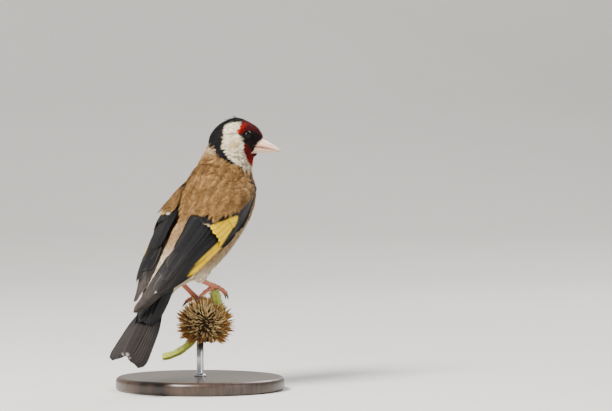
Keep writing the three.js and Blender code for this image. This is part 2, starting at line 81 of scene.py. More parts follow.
def spline(points, t, even=True):
    # a smooth curve through the points, t from 0 to 1; not even: its pace follows the gaps between them
    points = np.asarray(points, float)
    count = len(points) - 1
    full = np.vstack([2 * points[0] - points[1], points, 2 * points[-1] - points[-2]])
    x = np.asarray(t, float) * count
    i = np.clip(x.astype(int), 0, count - 1)
    w = (x - i)[..., None]
    a, b, c, d = full[i], full[i + 1], full[i + 2], full[i + 3]
    if even:
        m0, m1 = (c - a) / 2, (d - b) / 2
    else:
        k0, k1, k2 = (np.maximum(np.linalg.norm(v - u, axis=-1, keepdims=True), 1e-6) ** 0.5
            for u, v in ((a, b), (b, c), (c, d)))
        m0 = ((b - a) / k0 - (c - a) / (k0 + k1) + (c - b) / k1) * k1
        m1 = ((c - b) / k1 - (d - b) / (k1 + k2) + (d - c) / k2) * k1
    return b + m0 * w + (3 * (c - b) - 2 * m0 - m1) * w ** 2 + (2 * (b - c) + m0 + m1) * w ** 3


def straight(a, b):
    a, b = np.array(a, float), np.array(b, float)
    return lambda t: a + (b - a) * t[..., None]


def bezier(a, b, c):
    a, b, c = (np.asarray(p, float) for p in (a, b, c))
    return lambda t: a * ((1 - t) ** 2)[..., None] + b * (2 * t * (1 - t))[..., None] \
        + c * (t ** 2)[..., None]


def makeMesh(name, verts, faces, material):
    # verts in millimetres; faces an array of alike ones, or a plain list of loops
    mesh = bpy.data.meshes.new(name)
    verts = np.asarray(verts, float) * mm
    if isinstance(faces, np.ndarray):
        mesh.vertices.add(len(verts))
        mesh.vertices.foreach_set("co", verts.astype(np.float32).ravel())
        mesh.loops.add(faces.size)
        mesh.loops.foreach_set("vertex_index", faces.astype(np.int32).ravel())
        mesh.polygons.add(len(faces))
        mesh.polygons.foreach_set("loop_start", np.arange(0, faces.size, faces.shape[1], dtype=np.int32))
    else:
        mesh.from_pydata([tuple(v) for v in verts], [], faces)
    mesh.update(calc_edges=True)
    mesh.polygons.foreach_set("use_smooth", np.ones(len(mesh.polygons), bool))
    mesh.materials.append(material)
    piece = bpy.data.objects.new(name, mesh)
    bpy.context.scene.collection.objects.link(piece)
    return piece


def addPaint(mesh, colour):
    rgba = np.hstack([np.clip(colour, 0, 1), np.ones((len(colour), 1))]).astype(np.float32)
    mesh.color_attributes.new("plumage", "FLOAT_COLOR", "POINT").data.foreach_set("color", rgba.ravel())


def makePiece(name, verts, faces, material, slot, replaced=(), colour=None, patch=None, detail=None):
    piece = makeMesh(name, verts, faces, material)
    mesh = piece.data
    if colour is not None:
        addPaint(mesh, colour)
    loops = np.zeros(len(mesh.loops), np.int32)
    mesh.loops.foreach_get("vertex_index", loops)
    for label, flat in (("vane", detail), ("OFBake", patch)):  # vane runs along and across each feather
        if flat is not None:
            layer = mesh.uv_layers.new(name=label)
            layer.data.foreach_set("uv", np.asarray(flat, np.float32)[loops].ravel())
    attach(piece, "root")
    if replaced:
        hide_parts(*replaced)
    return piece


def repeated(plan, count, size):
    # the faces of one form of size verts, for count alike forms one after another
    return (np.asarray(plan)[None] + (np.arange(count) * size)[:, None, None]).reshape(-1, len(plan[0]))


def loft(form, around, along, closed=True):
    # form(t, angle) gives a spot for each step along and round
    t, angle = np.meshgrid(np.linspace(0, 1, along + 1), np.linspace(0, 2 * np.pi, around, endpoint=False),
        indexing="ij")
    verts = form(t, angle).reshape(-1, 3)
    faces = []
    for i in range(along):
        for j in range(around):
            k = (j + 1) % around
            faces.append((i * around + j, i * around + k, (i + 1) * around + k, (i + 1) * around + j))
    if closed:
        faces.append(tuple(range(around))[::-1])
        faces.append(tuple(along * around + j for j in range(around)))
    return verts, faces


def joinForms(forms):
    verts, faces, start = [], [], 0
    for v, f in forms:
        verts.append(v)
        faces += [tuple(i + start for i in face) for face in f]
        start += len(v)
    return np.vstack(verts), faces


def rod(path, size, around=16, along=24):
    # a round form along path(t), whose radius is size(t, angle)
    def form(t, angle):
        run = unit(path(np.minimum(t + 1e-3, 1)) - path(np.maximum(t - 1e-3, 0)))
        side = unit(np.cross(np.broadcast_to([0.0, 0.0, 1.0], run.shape), run) + np.array([1e-6, 0, 0]))
        over = np.cross(run, side)
        reach = np.broadcast_to(size(t, angle), t.shape)[..., None]
        return path(t) + side * np.sin(angle)[..., None] * reach + over * np.cos(angle)[..., None] * reach
    return loft(form, around, along)


def ballWay(polar, angle):
    return np.stack([np.sin(polar) * np.cos(angle), np.sin(polar) * np.sin(angle), np.cos(polar)], -1)


print("materials")


def feed(tree, socket, value):
    # value is a number, a colour or another node's output
    if isinstance(value, bpy.types.NodeSocket):
        tree.links.new(value, socket)
    else:
        socket.default_value = value


def addNode(tree, kind, settings=None, **inputs):
    node = tree.nodes.new("ShaderNode" + kind)
    for key, value in (settings or {}).items():
        setattr(node, key, value)
    for key, value in inputs.items():
        feed(tree, node.inputs[key.replace("_", " ")], value)
    return node


def reckon(tree, operation, *values):
    node = addNode(tree, "Math", {"operation": operation})
    for socket, value in zip(node.inputs, values):
        feed(tree, socket, value)
    return node.outputs[0]


def scaled(tree, colour, factor):
    node = addNode(tree, "VectorMath", {"operation": "SCALE"}, Scale=factor)
    feed(tree, node.inputs[0], colour)
    return node.outputs[0]


def newGroup(name, inputs, outputs):
    # inputs by name with their first values, and outputs by name
    group = bpy.data.node_groups.new(name, "ShaderNodeTree")
    for label, value in inputs.items():
        kind = "NodeSocketColor" if np.ndim(value) else "NodeSocketFloat"
        group.interface.new_socket(label, in_out="INPUT", socket_type=kind).default_value = value
    for label in outputs:
        kind = "NodeSocketColor" if label == "Color" else "NodeSocketFloat"
        group.interface.new_socket(label, in_out="OUTPUT", socket_type=kind)
    return group, group.nodes.new("NodeGroupInput").outputs, group.nodes.new("NodeGroupOutput").inputs


def mottleGroup():
    # uneven colour: a broad patchiness and a fine speckle, lighter and darker than the base
    group, given, out = newGroup("mottle", {"Color": (0.5, 0.5, 0.5, 1), "Scale": 400.0, "Amount": 0.2},
        ("Color", "Mask"))
    where = addNode(group, "TexCoord").outputs["Object"]
    finer = reckon(group, "MULTIPLY", given["Scale"], 6.0)
    broad = addNode(group, "TexNoise", Vector=where, Scale=given["Scale"], Detail=4.0).outputs["Fac"]
    fine = addNode(group, "TexNoise", Vector=where, Scale=finer, Detail=3.0).outputs["Fac"]
    both = reckon(group, "MULTIPLY_ADD", fine, 0.45, broad)
    spread = addNode(group, "MapRange", Value=both, From_Min=0.42, From_Max=0.98,
        To_Min=reckon(group, "SUBTRACT", 1.0, given["Amount"]), To_Max=reckon(group, "ADD", 1.0,
            given["Amount"]))
    feed(group, out["Color"], scaled(group, given["Color"], spread.outputs[0]))
    feed(group, out["Mask"], both)
    return group


def barbGroup():
    # the fine slanting barbs on each side of a vane's shaft, from the map called vane
    group, given, out = newGroup("barbs", {"Count": 60.0, "Strength": 0.3}, ("Light", "Height"))
    where = addNode(group, "UVMap", {"uv_map": "vane"}).outputs[0]
    split = addNode(group, "SeparateXYZ", Vector=where).outputs
    aside = reckon(group, "ABSOLUTE", reckon(group, "SUBTRACT", split["Y"], 0.5))
    slant = reckon(group, "MULTIPLY_ADD", aside, -0.55, split["X"])
    wave = reckon(group, "SINE", reckon(group, "MULTIPLY", slant, given["Count"]))
    noise = addNode(group, "TexNoise", Vector=where, Scale=14.0, Detail=3.0).outputs["Fac"]
    spread = addNode(group, "MapRange", Value=reckon(group, "MULTIPLY_ADD", noise, 2.4, wave),
        From_Min=-1.0, From_Max=3.4, To_Min=reckon(group, "SUBTRACT", 1.0, given["Strength"]), To_Max=1.1)
    feed(group, out["Light"], spread.outputs[0])
    feed(group, out["Height"], wave)
    return group


def grainGroup():
    # a fine grain, and a roughness that follows it
    group, given, out = newGroup("grain", {"Scale": 500.0, "Roughness": 0.4}, ("Height", "Roughness"))
    noise = addNode(group, "TexNoise", Vector=addNode(group, "TexCoord").outputs["Object"],
        Scale=reckon(group, "MULTIPLY", given["Scale"], 3.0), Detail=6.0).outputs["Fac"]
    rough = addNode(group, "MapRange", Value=noise, To_Min=reckon(group, "SUBTRACT",
        given["Roughness"], 0.08),
        To_Max=reckon(group, "ADD", given["Roughness"], 0.14))
    feed(group, out["Height"], noise)
    feed(group, out["Roughness"], rough.outputs[0])
    return group


mottle, barbLines, grain = mottleGroup(), barbGroup(), grainGroup()


def newMaterial(name):
    material = bpy.data.materials.new(name)
    material.use_nodes = True
    return material, material.node_tree


def dress(tree, **values):
    shader = tree.nodes["Principled BSDF"]
    for key, value in values.items():
        feed(tree, shader.inputs[key.replace("_", " ")], value)


def mottled(tree, colour, scale, amount):
    # colour is one colour, or None for the paint on the mesh
    base = addNode(tree, "Attribute",
        {"attribute_name": "plumage"}).outputs["Color"] if colour is None else (*colour, 1)
    return addNode(tree, "Group", {"node_tree": mottle}, Color=base, Scale=float(scale),
        Amount=amount).outputs


def plumageMaterial(name, roughness, sheen, amount, scale, bump, barbCount=0.0):
    material, tree = newMaterial(name)
    spots = mottled(tree, None, scale, amount)
    colour, height = spots["Color"], spots["Mask"]
    if barbCount:
        lines = addNode(tree, "Group", {"node_tree": barbLines}, Count=barbCount, Strength=0.35).outputs
        colour, height = scaled(tree, colour, lines["Light"]), lines["Height"]
    relief = addNode(tree, "Bump", Strength=bump, Distance=0.0001, Height=height)
    dress(tree, Base_Color=colour, Normal=relief.outputs[0], Roughness=roughness, Sheen_Weight=sheen,
        Sheen_Roughness=0.4, Specular_IOR_Level=0.16)
    return material


def hornMaterial(name, colour, amount, scale, roughness, coat=0.0, **more):
    # horn, skin, steel or floor, with a fine grain
    material, tree = newMaterial(name)
    fine = addNode(tree, "Group", {"node_tree": grain}, Scale=float(scale), Roughness=roughness).outputs
    relief = addNode(tree, "Bump", Strength=0.3, Distance=0.0001, Height=fine["Height"])
    dress(tree, Base_Color=mottled(tree, colour, scale, amount)["Color"], Normal=relief.outputs[0],
        Roughness=fine["Roughness"], Coat_Weight=coat, Coat_Roughness=0.3, **more)
    return material


skinMaterial = plumageMaterial("plumageSkin", 0.85, 0.0, 0.25, 900.0, 0.5)
downMaterial = plumageMaterial("bodyFeathers", 0.7, 0.04, 0.3, 700.0, 0.1)
vaneMaterial = plumageMaterial("flightFeathers", 0.48, 0.0, 0.14, 300.0, 0.5, 150.0)

# the bird's form, in millimetres: +Y the way it faces, +X its right, +Z up
print("skin")
body = {
    "middle": [[0, -45.5, 30.2], [0, -39.5, 36.8], [0, -33.2, 43.6], [0, -26.2, 50.5], [0, -17.7, 56.6],
        [0, -7.2, 63.4], [0, 2.8, 71.6], [0, 11.6, 81.0], [0, 17.2, 89.1], [0, 19.6, 95.8], [0, 20.8, 100.0]],
    # across, back, belly
    "half": [[4.6, 0.9, 0.9], [5.0, 2.2, 1.9], [5.8, 4.0, 3.4], [8.2, 6.4, 5.2], [11.6, 9.8, 8.6],
        [15.2, 13.0, 12.0], [16.9, 14.7, 13.0], [17.4, 16.2, 14.3], [16.2, 17.6, 14.6], [13.2, 15.4, 12.8],
        [8.5, 9.4, 9.0]],
    "coat": 1.15,  # how thick the feathers over the skin are
}
neck = {
    "middle": [[0, 17.6, 91.0], [0.4, 19.4, 97.6], [1.4, 20.6, 103.0], [2.6, 21.4, 108.5]],
    # across, ahead, degrees turned
    "half": [[13.6, 13.0, 0], [12.9, 12.3, 14], [10.4, 11.4, 36], [8.4, 10.4, 56]],
    "lean": (0.62, 0.52), "coat": 0.9,
}
head = {
    "centre": np.array([4.5, 22.3, 113.9]), "turn": math.radians(56), "coat": 0.6,
    "line": [[-12.1, 1.6, 0], [-10.9, 4.6, 0], [-7.8, 7.2, 0], [-3.4, 8.6, 0], [0.8, 8.6, 0], [5.2, 7.6, 0],
        [9.0, 5.2, 0], [11.4, 3.2, 0], [12.6, 2.0, 0]],  # ahead, half width
    "rim": [[-1.4, -4.6, 0], [1.6, -7.6, 0], [5.2, -9.8, 0], [7.7, -10.8, 0], [8.5, -10.9, 0],
        [6.7, -10.2, 0],
        [4.5, -8.8, 0], [1.4, -7.2, 0], [-1.6, -6.0, 0]],  # top, bottom
}
legs = {
    "right": {"hip": [7.4, -5.0, 60.0], "ankle": [6.2, -9.8, 50.4], "foot": [6.0, 3.0, 46.6]},
    "left": {"hip": [-7.4, -3.5, 59.5], "ankle": [-6.2, -7.6, 49.4], "foot": [-4.4, 3.2, 41.0]},
    "thigh": (4.2, 1.9), "shank": 1.06, "toe": 0.88, "claw": 0.56, "knuckle": np.array([1.45, 1.5, 1.2]),
}
forward = np.array([math.sin(head["turn"]), math.cos(head["turn"]), 0])
across = np.array([math.cos(head["turn"]), -math.sin(head["turn"]), 0])


def onHead(ahead, high, side=0.0):
    ahead, high, side = (np.asarray(v, float)[..., None] for v in (ahead, high, side))
    return head["centre"] + forward * ahead + upward * high + across * side


def offRun(run):
    return np.stack([run[..., 0] * 0, -run[..., 2], run[..., 1]], -1)


def bodyForm(inset):
    def form(t, angle):
        spot, size = spline(body["middle"], t), spline(body["half"], t)
        run = unit(spline(body["middle"], t + 1e-3) - spline(body["middle"], t - 1e-3))
        tall = np.where(np.cos(angle) > 0, size[..., 1], size[..., 2]) - inset
        wide = np.sin(angle) * (size[..., 0] - inset)
        return spot + np.stack([wide, 0 * t, 0 * t], -1) + offRun(run) * (np.cos(angle) * tall)[..., None]
    return form


def neckForm(inset):
    def form(t, angle):
        spot, size = spline(neck["middle"], t), spline(neck["half"], t)
        yaw, lean = np.radians(size[..., 2]), neck["lean"][0] - neck["lean"][1] * t
        ahead = unit(np.stack([np.sin(yaw), np.cos(yaw), -lean], -1))
        side = np.stack([np.cos(yaw), -np.sin(yaw), 0 * yaw], -1)
        return spot + side * (np.sin(angle - yaw) * (size[..., 0] - inset))[..., None] \
            + ahead * (np.cos(angle - yaw) * (size[..., 1] - inset))[..., None]
    return form


def headForm(inset):
    def form(t, angle):
        line, rim = spline(head["line"], t), spline(head["rim"], t)
        middle, half = (rim[..., 0] + rim[..., 1]) / 2, (rim[..., 0] - rim[..., 1]) / 2
        half, wide = np.maximum(half - inset, 0.3), np.maximum(line[..., 1] - inset, 0.3)
        return onHead(line[..., 0], middle + np.cos(angle) * half, np.sin(angle) * wide)
    return form


def thighForm(side):
    top, low = legs["thigh"]
    return rod(straight(legs[side]["hip"], legs[side]["ankle"]), lambda t, a: top - (top - low) * t ** 0.8,
        20, 10)


def buildSkin():
    verts, faces = joinForms([loft(bodyForm(body["coat"]), 72, 90), loft(neckForm(neck["coat"]), 60, 24),
        loft(headForm(head["coat"]), 60, 50), thighForm("right"), thighForm("left")])
    piece = makePiece("plumage_skin", verts, faces, skinMaterial, "mantle_feathers",
        ("torso", "neck", "head", "thigh_left", "thigh_right"))
    for kind, values in (("REMESH", {"mode": "VOXEL", "voxel_size": 0.0007, "use_smooth_shade": True}),
            ("SMOOTH", {"factor": 0.5, "iterations": 14})):
        modifier = piece.modifiers.new(kind.lower(), kind)
        for key, value in values.items():
            setattr(modifier, key, value)
    shape = bpy.data.meshes.new_from_object(piece.evaluated_get(bpy.context.evaluated_depsgraph_get()))
    piece.modifiers.clear()
    piece.data = shape
    shape.polygons.foreach_set("use_smooth", np.ones(len(shape.polygons), bool))
    shape.calc_loop_triangles()
    return shape


skin = buildSkin()
skinVerts = np.array([v.co for v in skin.vertices]) / mm
skinNormals = np.array([v.normal for v in skin.vertices])
skinFaces = np.array([t.vertices[:] for t in skin.loop_triangles])
skinTree = BVHTree.FromPolygons([tuple(v) for v in skinVerts], skinFaces.tolist())
spineSteps = np.linspace(0, 1, 160)
spineSpots = spline(body["middle"], spineSteps)


def bodyTurn(p):
    # angle round the body from the middle of the back, in degrees, and the place along it
    near = np.abs((p[:, None, 1:] - spineSpots[None, :, 1:]) ** 2).sum(-1).argmin(1)
    spot, run = spineSpots[near], unit(spline(body["middle"], spineSteps[near] + 1e-3) - spineSpots[near])
    return np.degrees(np.arctan2(p[:, 0], ((p - spot) * offRun(run)).sum(-1))), spineSteps[near]


def headSpots(p):
    d = p - head["centre"]
    return d @ forward, d[:, 2], d @ across


def lieAt(p, normal):
    # the way that the feathers lie: back from the bill, down the neck and along the body
    ahead, high, side = headSpots(p)
    up = ease(-17, -7, high)[:, None]
    onFace = -forward[None, :] - upward[None, :] * (0.25 + 0.65 * ease(6, -9, ahead))[:, None]
    lie = unit(onFace) * up + backward * (1 - up)
    return unit(lie - normal * (lie * normal).sum(-1)[:, None])


# markings, shared by the skin and its feathers
colours = {
    "mantle": tone(124, 92, 52), "mantleDark": tone(82, 56, 30), "mantlePale": tone(154, 122, 78),
    "hood": tone(14, 13, 15), "cheek": tone(226, 212, 184), "ear": tone(198, 172, 104),
    "crimson": tone(66, 4, 8), "scarlet": tone(190, 22, 6), "lore": tone(22, 15, 13),
    "nape": tone(186, 158, 126), "cream": tone(222, 208, 182), "breast": tone(160, 114, 66),
    "belly": tone(200, 184, 154), "flank": tone(164, 138, 102), "rump": tone(206, 190, 164),
    "tailTopAndShade": tone(20, 19, 20), "sparse": tone(84, 76, 66), "cere": tone(222, 184, 158),
}
faceMarks = [  # closed outlines ahead of and above the head's centre, from the lowest to the topmost mark
    ("hood", [[5.8, 7.4], [2, 9.8], [-5, 9.6], [-10.4, 6.4], [-14.2, 0.4], [-13.6, -2.4],
        [-10.6, -4.9], [-9.6, -7.4], [-8.0, -9.6], [-4.8, -11.4], [-1.0, -13.3], [1.4, -14.4], [5.2, -13],
        [5.6, -4], [6, 2]]),
    ("lore", [[2.6, 6.0], [6.6, 7.6], [13, 2], [13.4, -4], [11, -9], [7, -13.2], [4.4, -9],
        [3.8, -3], [2.2, 0], [1.2, 2.2]]),
    ("cheek", [[2.4, 6.1], [-1.8, 5.9], [-4.5, 4.8], [-5.4, 3.2], [-5.3, 1.2], [-5.9, -0.9],
        [-6.4, -4.1], [-6, -6.3], [-4.6, -8.6], [-2.7, -10.8], [-0.9, -12.4], [1.8, -13.8], [3.6, -14.6],
        [5.6, -13.6], [4.6, -10.4], [3.3, -6.8], [3.5, -3.2], [1.9, -0.2], [0.3, 1.8], [1.5, 4.1]]),
    ("crimson", [[1.9, 6.4], [4.2, 6.6], [6.6, 8.4], [9.4, 6], [12.2, 2.4], [13.6, -0.9],
        [10.4, -2.2], [9.9, 0.5], [8.1, 1.8], [6.3, 2.5], [4, 2.3], [2.3, 0.7], [-0.2, 1.6],
        [1.6, 4.1], [2.3, 6.1]]),
    ("crimson", [[4.3, -2.1], [6.8, -4.3], [6.8, -6.8], [8.1, -7.9], [10.4, -7.6], [9.6, -10.5], [7.4, -14.2],
        [5.4, -12.6], [4, -9], [3.1, -6.3], [3.3, -3.6]]),
    ("lore", [[1.7, 0.9], [4.5, 2.5], [8.1, 1.9], [10.4, 0.6], [11.4, -1.6], [9.4, -3.2],
        [8.6, -5], [8.4, -6.2], [10.6, -6.9], [9.6, -8.4], [6.6, -7.4], [6.0, -5.2], [5.2, -3.8], [3.2, -2.7],
        [1.7, -0.7]]),
    ("lore", [[7.0, -6.4], [12.5, -6.4], [12.5, -9.6], [8.9, -9.3], [7.5, -8.2]]),
]


def insideMark(outline, x, y, ragged):
    # how far inside a closed outline each place is: positive inside
    a = np.asarray(outline, float)
    b = np.roll(a, -1, 0)
    q = np.stack([x, y], -1)[:, None, :]
    run = b - a
    t = np.clip(((q - a) * run).sum(-1) / (run ** 2).sum(-1), 0, 1)
    gap = np.sqrt(((q - a - run * t[..., None]) ** 2).sum(-1)).min(1)
    slope = np.where(run[:, 1] == 0, 1e-9, run[:, 1])
    crossed = ((a[:, 1] > q[..., 1]) != (b[:, 1] > q[..., 1])) & \
        (q[..., 0] < run[:, 0] * (q[..., 1] - a[:, 1]) / slope + a[:, 0])
    return np.where(crossed.sum(1) % 2 == 1, gap, -gap) + ragged


def mantlePaint(p):
    # brown with darker and paler streaks that run along the body
    run, over, x = p @ -backward, p @ offBack, p[:, 0]
    wave = np.sin(1.9 * x + 1.4 * np.sin(0.33 * run + 0.5 * over)) * np.sin(1.3 * over + 0.8 * x
        + 0.6 * np.sin(0.41 * run))
    fine = np.sin(5.1 * x + 2.1 * np.sin(0.9 * run)) * np.sin(4.3 * over - 1.1 * np.sin(0.7 * run + x))
    return paintOver(np.broadcast_to(colours["mantle"], p.shape), colours, [
        ("mantleDark", 0.5 * ease(-0.1, 0.9, wave)), ("mantlePale", 0.55 * ease(0.0, -0.9, wave)),
        ("mantleDark", 0.35 * ease(0.2, 0.8, fine))])


def markings(p, ragged=0.0):
    # the bird's pattern at places on or by its skin, with edges moved by ragged millimetres
    ahead, high, side = headSpots(p)
    turn, along = bodyTurn(p)
    turn = np.abs(turn) + ragged * 6
    # where the back's brown ends, in degrees
    limit = 98 + 10 * ease(0.62, 0.9, along) - 22 * ease(0.5, 0.2, along)
    band = bell((turn - limit - 14) / 16) * ease(0.66, 0.78, along) * ease(0.98, 0.9, along)
    streak = np.sin(3.1 * p[:, 0] + 1.7 * p[:, 2]) * np.sin(2.3 * p[:, 1] - 1.9 * p[:, 2])
    speck = np.sin(4.7 * p[:, 0] + 3.9 * p[:, 2]) * np.sin(5.3 * p[:, 1] - 3.1 * p[:, 2])
    nape = 0.85 * ease(-8.2, -9.8, ahead + ragged) * ease(-10.5, -6.5, high) * ease(-0.6, -2.2, high)
    throat = ease(-7.2, -9.0, high + 0.2 * ragged) * ease(-17.5, -15, high) * ease(1.8, 4.6, ahead + ragged)
    paint = paintOver(mantlePaint(p), colours, [
        ("flank", ease(limit - 12, limit + 4, turn) * (1 - 0.6 * ease(0.7, 0.85, along))),
        ("belly", ease(limit + 2, limit + 22, turn)),
        ("cream", ease(limit + 16, limit + 40, turn)),
        ("breast", 0.75 * band),
        ("mantleDark", 0.4 * ease(0.35, 0.95, streak) * ease(limit, limit + 20, turn)
            * ease(0.75, 0.6, along)),
        ("rump", ease(-14, -24, p[:, 1]) * ease(105, 75, turn)),
        # the tail's root black: partly its own black coverts, partly painted shadow under the wing tips
        ("tailTopAndShade", ease(-29, -33, p[:, 1] + 0.02 * (turn - 90)) * ease(150, 125, turn)),
        ("nape", nape * (0.9 - 0.8 * ease(0.0, 0.7, speck))),
        ("cream", np.maximum(throat, ease(-16, -13.4, high) * ease(3.2, 5.2, ahead)))])

    def softSpot(a, b, wide, tall):
        return bell((ahead - a) / wide) * bell((high - b) / tall)
    for name, outline in faceMarks:
        share = ease(-0.22, 0.22, insideMark(outline, ahead, high, ragged)) * ease(-15.8, -14.8, high)
        paint = mix(paint, colours[name], share)
        if name == "cheek":
            hatch = np.sin(4.1 * high + 0.9 * ahead + 1.2 * np.sin(1.7 * ahead)) \
                * np.sin(2.9 * ahead - 1.1 * high)
            line = bell((high - 1.3 - 0.06 * ahead) / 0.34) * ease(-5.4, -4.4, ahead) * ease(1.2, 0, ahead)
            paint = paintOver(paint, colours, [
                ("sparse", 0.85 * share * ease(0.1, 0.7, hatch) * (0.5 + 0.5 * ease(-3, -9, high))),
                ("ear", 0.8 * share * softSpot(-1.4, -3.8, 1.5, 2.0)), ("sparse", 0.75 * share * line),
                ("hood", 0.9 * share * softSpot(3.8, -13.0, 0.55, 0.55))])
        if name == "crimson":  # brighter in a line behind the eye and on the throat
            reach = np.clip(((ahead - 0.4) * 3.0 + (high - 1.4) * 3.6) / 21.96, 0, 1)
            gap = np.hypot(ahead - 0.4 - 3.0 * reach, high - 1.4 - 3.6 * reach)
            bright = ease(1.15, 0.3, gap) * (0.95 - 0.3 * reach) + 0.85 * softSpot(6.2, -11.6, 1.5, 1.9)
            spark = 0.72 + 0.5 * np.sin(6.1 * ahead + 3.3 * high) * np.sin(4.9 * high - 2.7 * ahead)
            paint = mix(paint, colours["scarlet"], share * np.clip(bright * spark + 0.1 * spark, 0, 1))
    # the bill's foot, without feathers
    bare = ease(9.6, 10.0, 0.805 * ahead - 0.593 * high) * ease(-7.9, -7.5, high)
    return mix(paint, colours["cere"], bare)


def unwrap(p):
    # a flat plan of the skin: once round it across, and from tail to bill along
    ahead, high, side = headSpots(p)
    turn, along = bodyTurn(p)
    onTop = high > -13.5
    around = np.where(onTop, np.degrees(np.arctan2(side, high + 1.2)), turn) / 360 + 0.5
    reach = np.where(onTop, 0.78 + 0.2 * np.clip((ahead + 13) / 26, 0, 1), 0.02 + 0.74 * along)
    return np.stack([0.01 + 0.98 * around, reach], -1)


# the skin's paint is darkened as painted shade where it shows between the feathers
addPaint(skin, markings(skinVerts) * 0.75)  # darker than the feathers over it

print("coat")
eyes = {"ahead": 4.85, "high": 0.6, "side": 5.8, "radius": 2.2, "opening": 1.28, "ball": tone(12, 8, 7),
    "lid": tone(16, 12, 11)}
feather = {"steps": 4, "turn": 0.09, "length": 0.16, "width": 0.12, "wobble": 0.16, "tint": 0.14,
    "tipPale": 0.12, "edgePale": 0.2}
coats = {  # slot, how many to a square millimetre, length, half width, rise, barbs, reach, looseness
    "face": ("face_feathers", 6.0, 1.7, 0.42, 0.6, 5, 0.34, 0.10),
    "crown": ("face_feathers", 3.0, 2.6, 0.6, 0.7, 6, 0.34, 0.10),
    "nape": ("mantle_feathers", 2.1, 3.4, 0.7, 1.35, 7, 0.4, 0.2),
    "crest": ("face_feathers", 0.16, 3.8, 0.36, 1.5, 6, 0.5, 0.5),
    "mantle": ("mantle_feathers", 1.15, 5.2, 1.2, 1.0, 9, 0.4, 0.06),
    "rump": ("mantle_feathers", 0.95, 5.0, 1.4, 1.1, 8, 0.34, 0.10),
    "breast": ("belly_feathers", 0.9, 5.0, 1.4, 1.15, 9, 0.34, 0.10),
    "belly": ("belly_feathers", 0.8, 6.2, 1.4, 1.15, 8, 0.4, 0.16),
}


def featherPattern(count, reach):
    # one contour feather of unit length and half width: narrow barbs each side of a shaft,
    # as places (along, across) and faces
    spots, faces = [], []
    width = 1.15 * 0.84 / (count - 1)
    for side in (-1, 1):
        for share in (i / (count - 1) for i in range(count)):
            full = math.sin(math.pi * min(1, (0.16 + 0.76 * share) ** 0.8)) ** 0.6
            run = np.array([reach * (0.7 + 0.3 * share), side * full * (1 - 0.45 * share ** 3)])
            for out, thick in ((0, 1.0), (0.55, 0.95), (1.0, 0.35)):
                middle = np.array([0.04 + 0.84 * share, 0]) + run * np.array([out ** 1.25, out])
                spots += [middle - [width * thick / 2, 0], middle + [width * thick / 2, 0]]
            base = len(spots) - 6
            faces += [(base, base + 1, base + 3, base + 2), (base + 2, base + 3, base + 5, base + 4)]
    return np.array(spots), np.array(faces)


def walkSkin(root, lie, length, steps, tree):
    # each feather's line over the skin: spots and normals at even steps
    spots, normals, spot, normal = [], [], root, None
    for step in range(steps + 1):
        found = [tree.find_nearest(place) for place in spot]
        near, out = (np.array([tuple(hit[part]) for hit in found]) for part in (0, 1))
        out = unit(out)
        normal = out if normal is None else unit(out + 0.8 * normal)
        spots.append(near)
        normals.append(normal)
        lie = unit(lie - normal * (lie * normal).sum(-1)[:, None])
        spot = near + lie * (length / steps)[:, None]
    return np.stack(spots, 1), np.stack(normals, 1)


def coat(name, slot, roots, normals, length, width, lift, barbCount, reach, loose, painter=markings,
        tree=skinTree):
    # one solid feather at each root, laid over the tree's surface
    count, steps = len(roots), feather["steps"]
    lie = lieAt(roots, normals)
    yaw = dice.normal(0, feather["turn"] + loose * 0.6, count)
    lie = unit(lie * np.cos(yaw)[:, None] + np.cross(normals, lie) * np.sin(yaw)[:, None])
    length = length * (1 + feather["length"] * dice.standard_normal(count).clip(-1.5, 1.5))
    width = width * (1 + feather["width"] * dice.standard_normal(count).clip(-1.5, 1.5))
    lines, outs = walkSkin(roots, lie, length, steps, tree)
    plan, faces = featherPattern(barbCount, reach)
    along, wide = np.clip(plan[:, 0], 0, 1.25), plan[:, 1]
    onward, aside = np.minimum(along, 1), np.abs(wide)[None, :]
    x = onward * steps
    i = np.minimum(x.astype(int), steps - 1)
    w = (x - i)[None, :, None]
    spot = lines[:, i] * (1 - w) + lines[:, i + 1] * w
    out = unit(outs[:, i] * (1 - w) + outs[:, i + 1] * w)
    run = unit(lines[:, i + 1] - lines[:, i])
    spot = spot + run * (np.maximum(along - 1, 0)[None, :] * length[:, None])[..., None]
    wobble = 1 + feather["wobble"] * dice.standard_normal((count, len(along)))
    rise = lift[:, None] * (-0.12 + 1.1 * onward[None, :] ** 0.8) \
        + loose * length[:, None] * 0.35 * np.maximum(along - 0.6, 0)[None, :]
    rise = rise + 0.12 * dice.random((count, 1)) - 0.1 * aside * lift[:, None] \
        + 0.03 * dice.standard_normal((count, len(along)))
    verts = spot + np.cross(out, run) * (wide[None, :] * width[:, None] * wobble)[..., None] \
        + out * rise[..., None]
    tip = lines[:, 3] * 0.55 + lines[:, 4] * 0.45
    base = markings(tip, dice.normal(0, 0.16, count)) if painter is markings else painter(tip)
    base = base * (1 + feather["tint"] * dice.standard_normal((count, 1)).clip(-2, 2))
    shade = 1 + feather["tipPale"] * (2 * onward[None, :] - 1) + feather["edgePale"] * (aside - 0.4) \
        + 0.07 * dice.standard_normal((count, len(along)))
    paint = base[:, None, :] * shade[..., None]
    patch = unwrap(roots)[:, None, :] + np.stack([wide * 0.0014, (onward - 0.5) * 0.0028], -1)[None]
    print(" ", name, count, "feathers,", 2 * count * len(faces), "triangles")
    makePiece(name, verts.reshape(-1, 3), repeated(faces, count, len(plan)), downMaterial, slot,
        colour=paint.reshape(-1, 3), patch=patch.reshape(-1, 2))


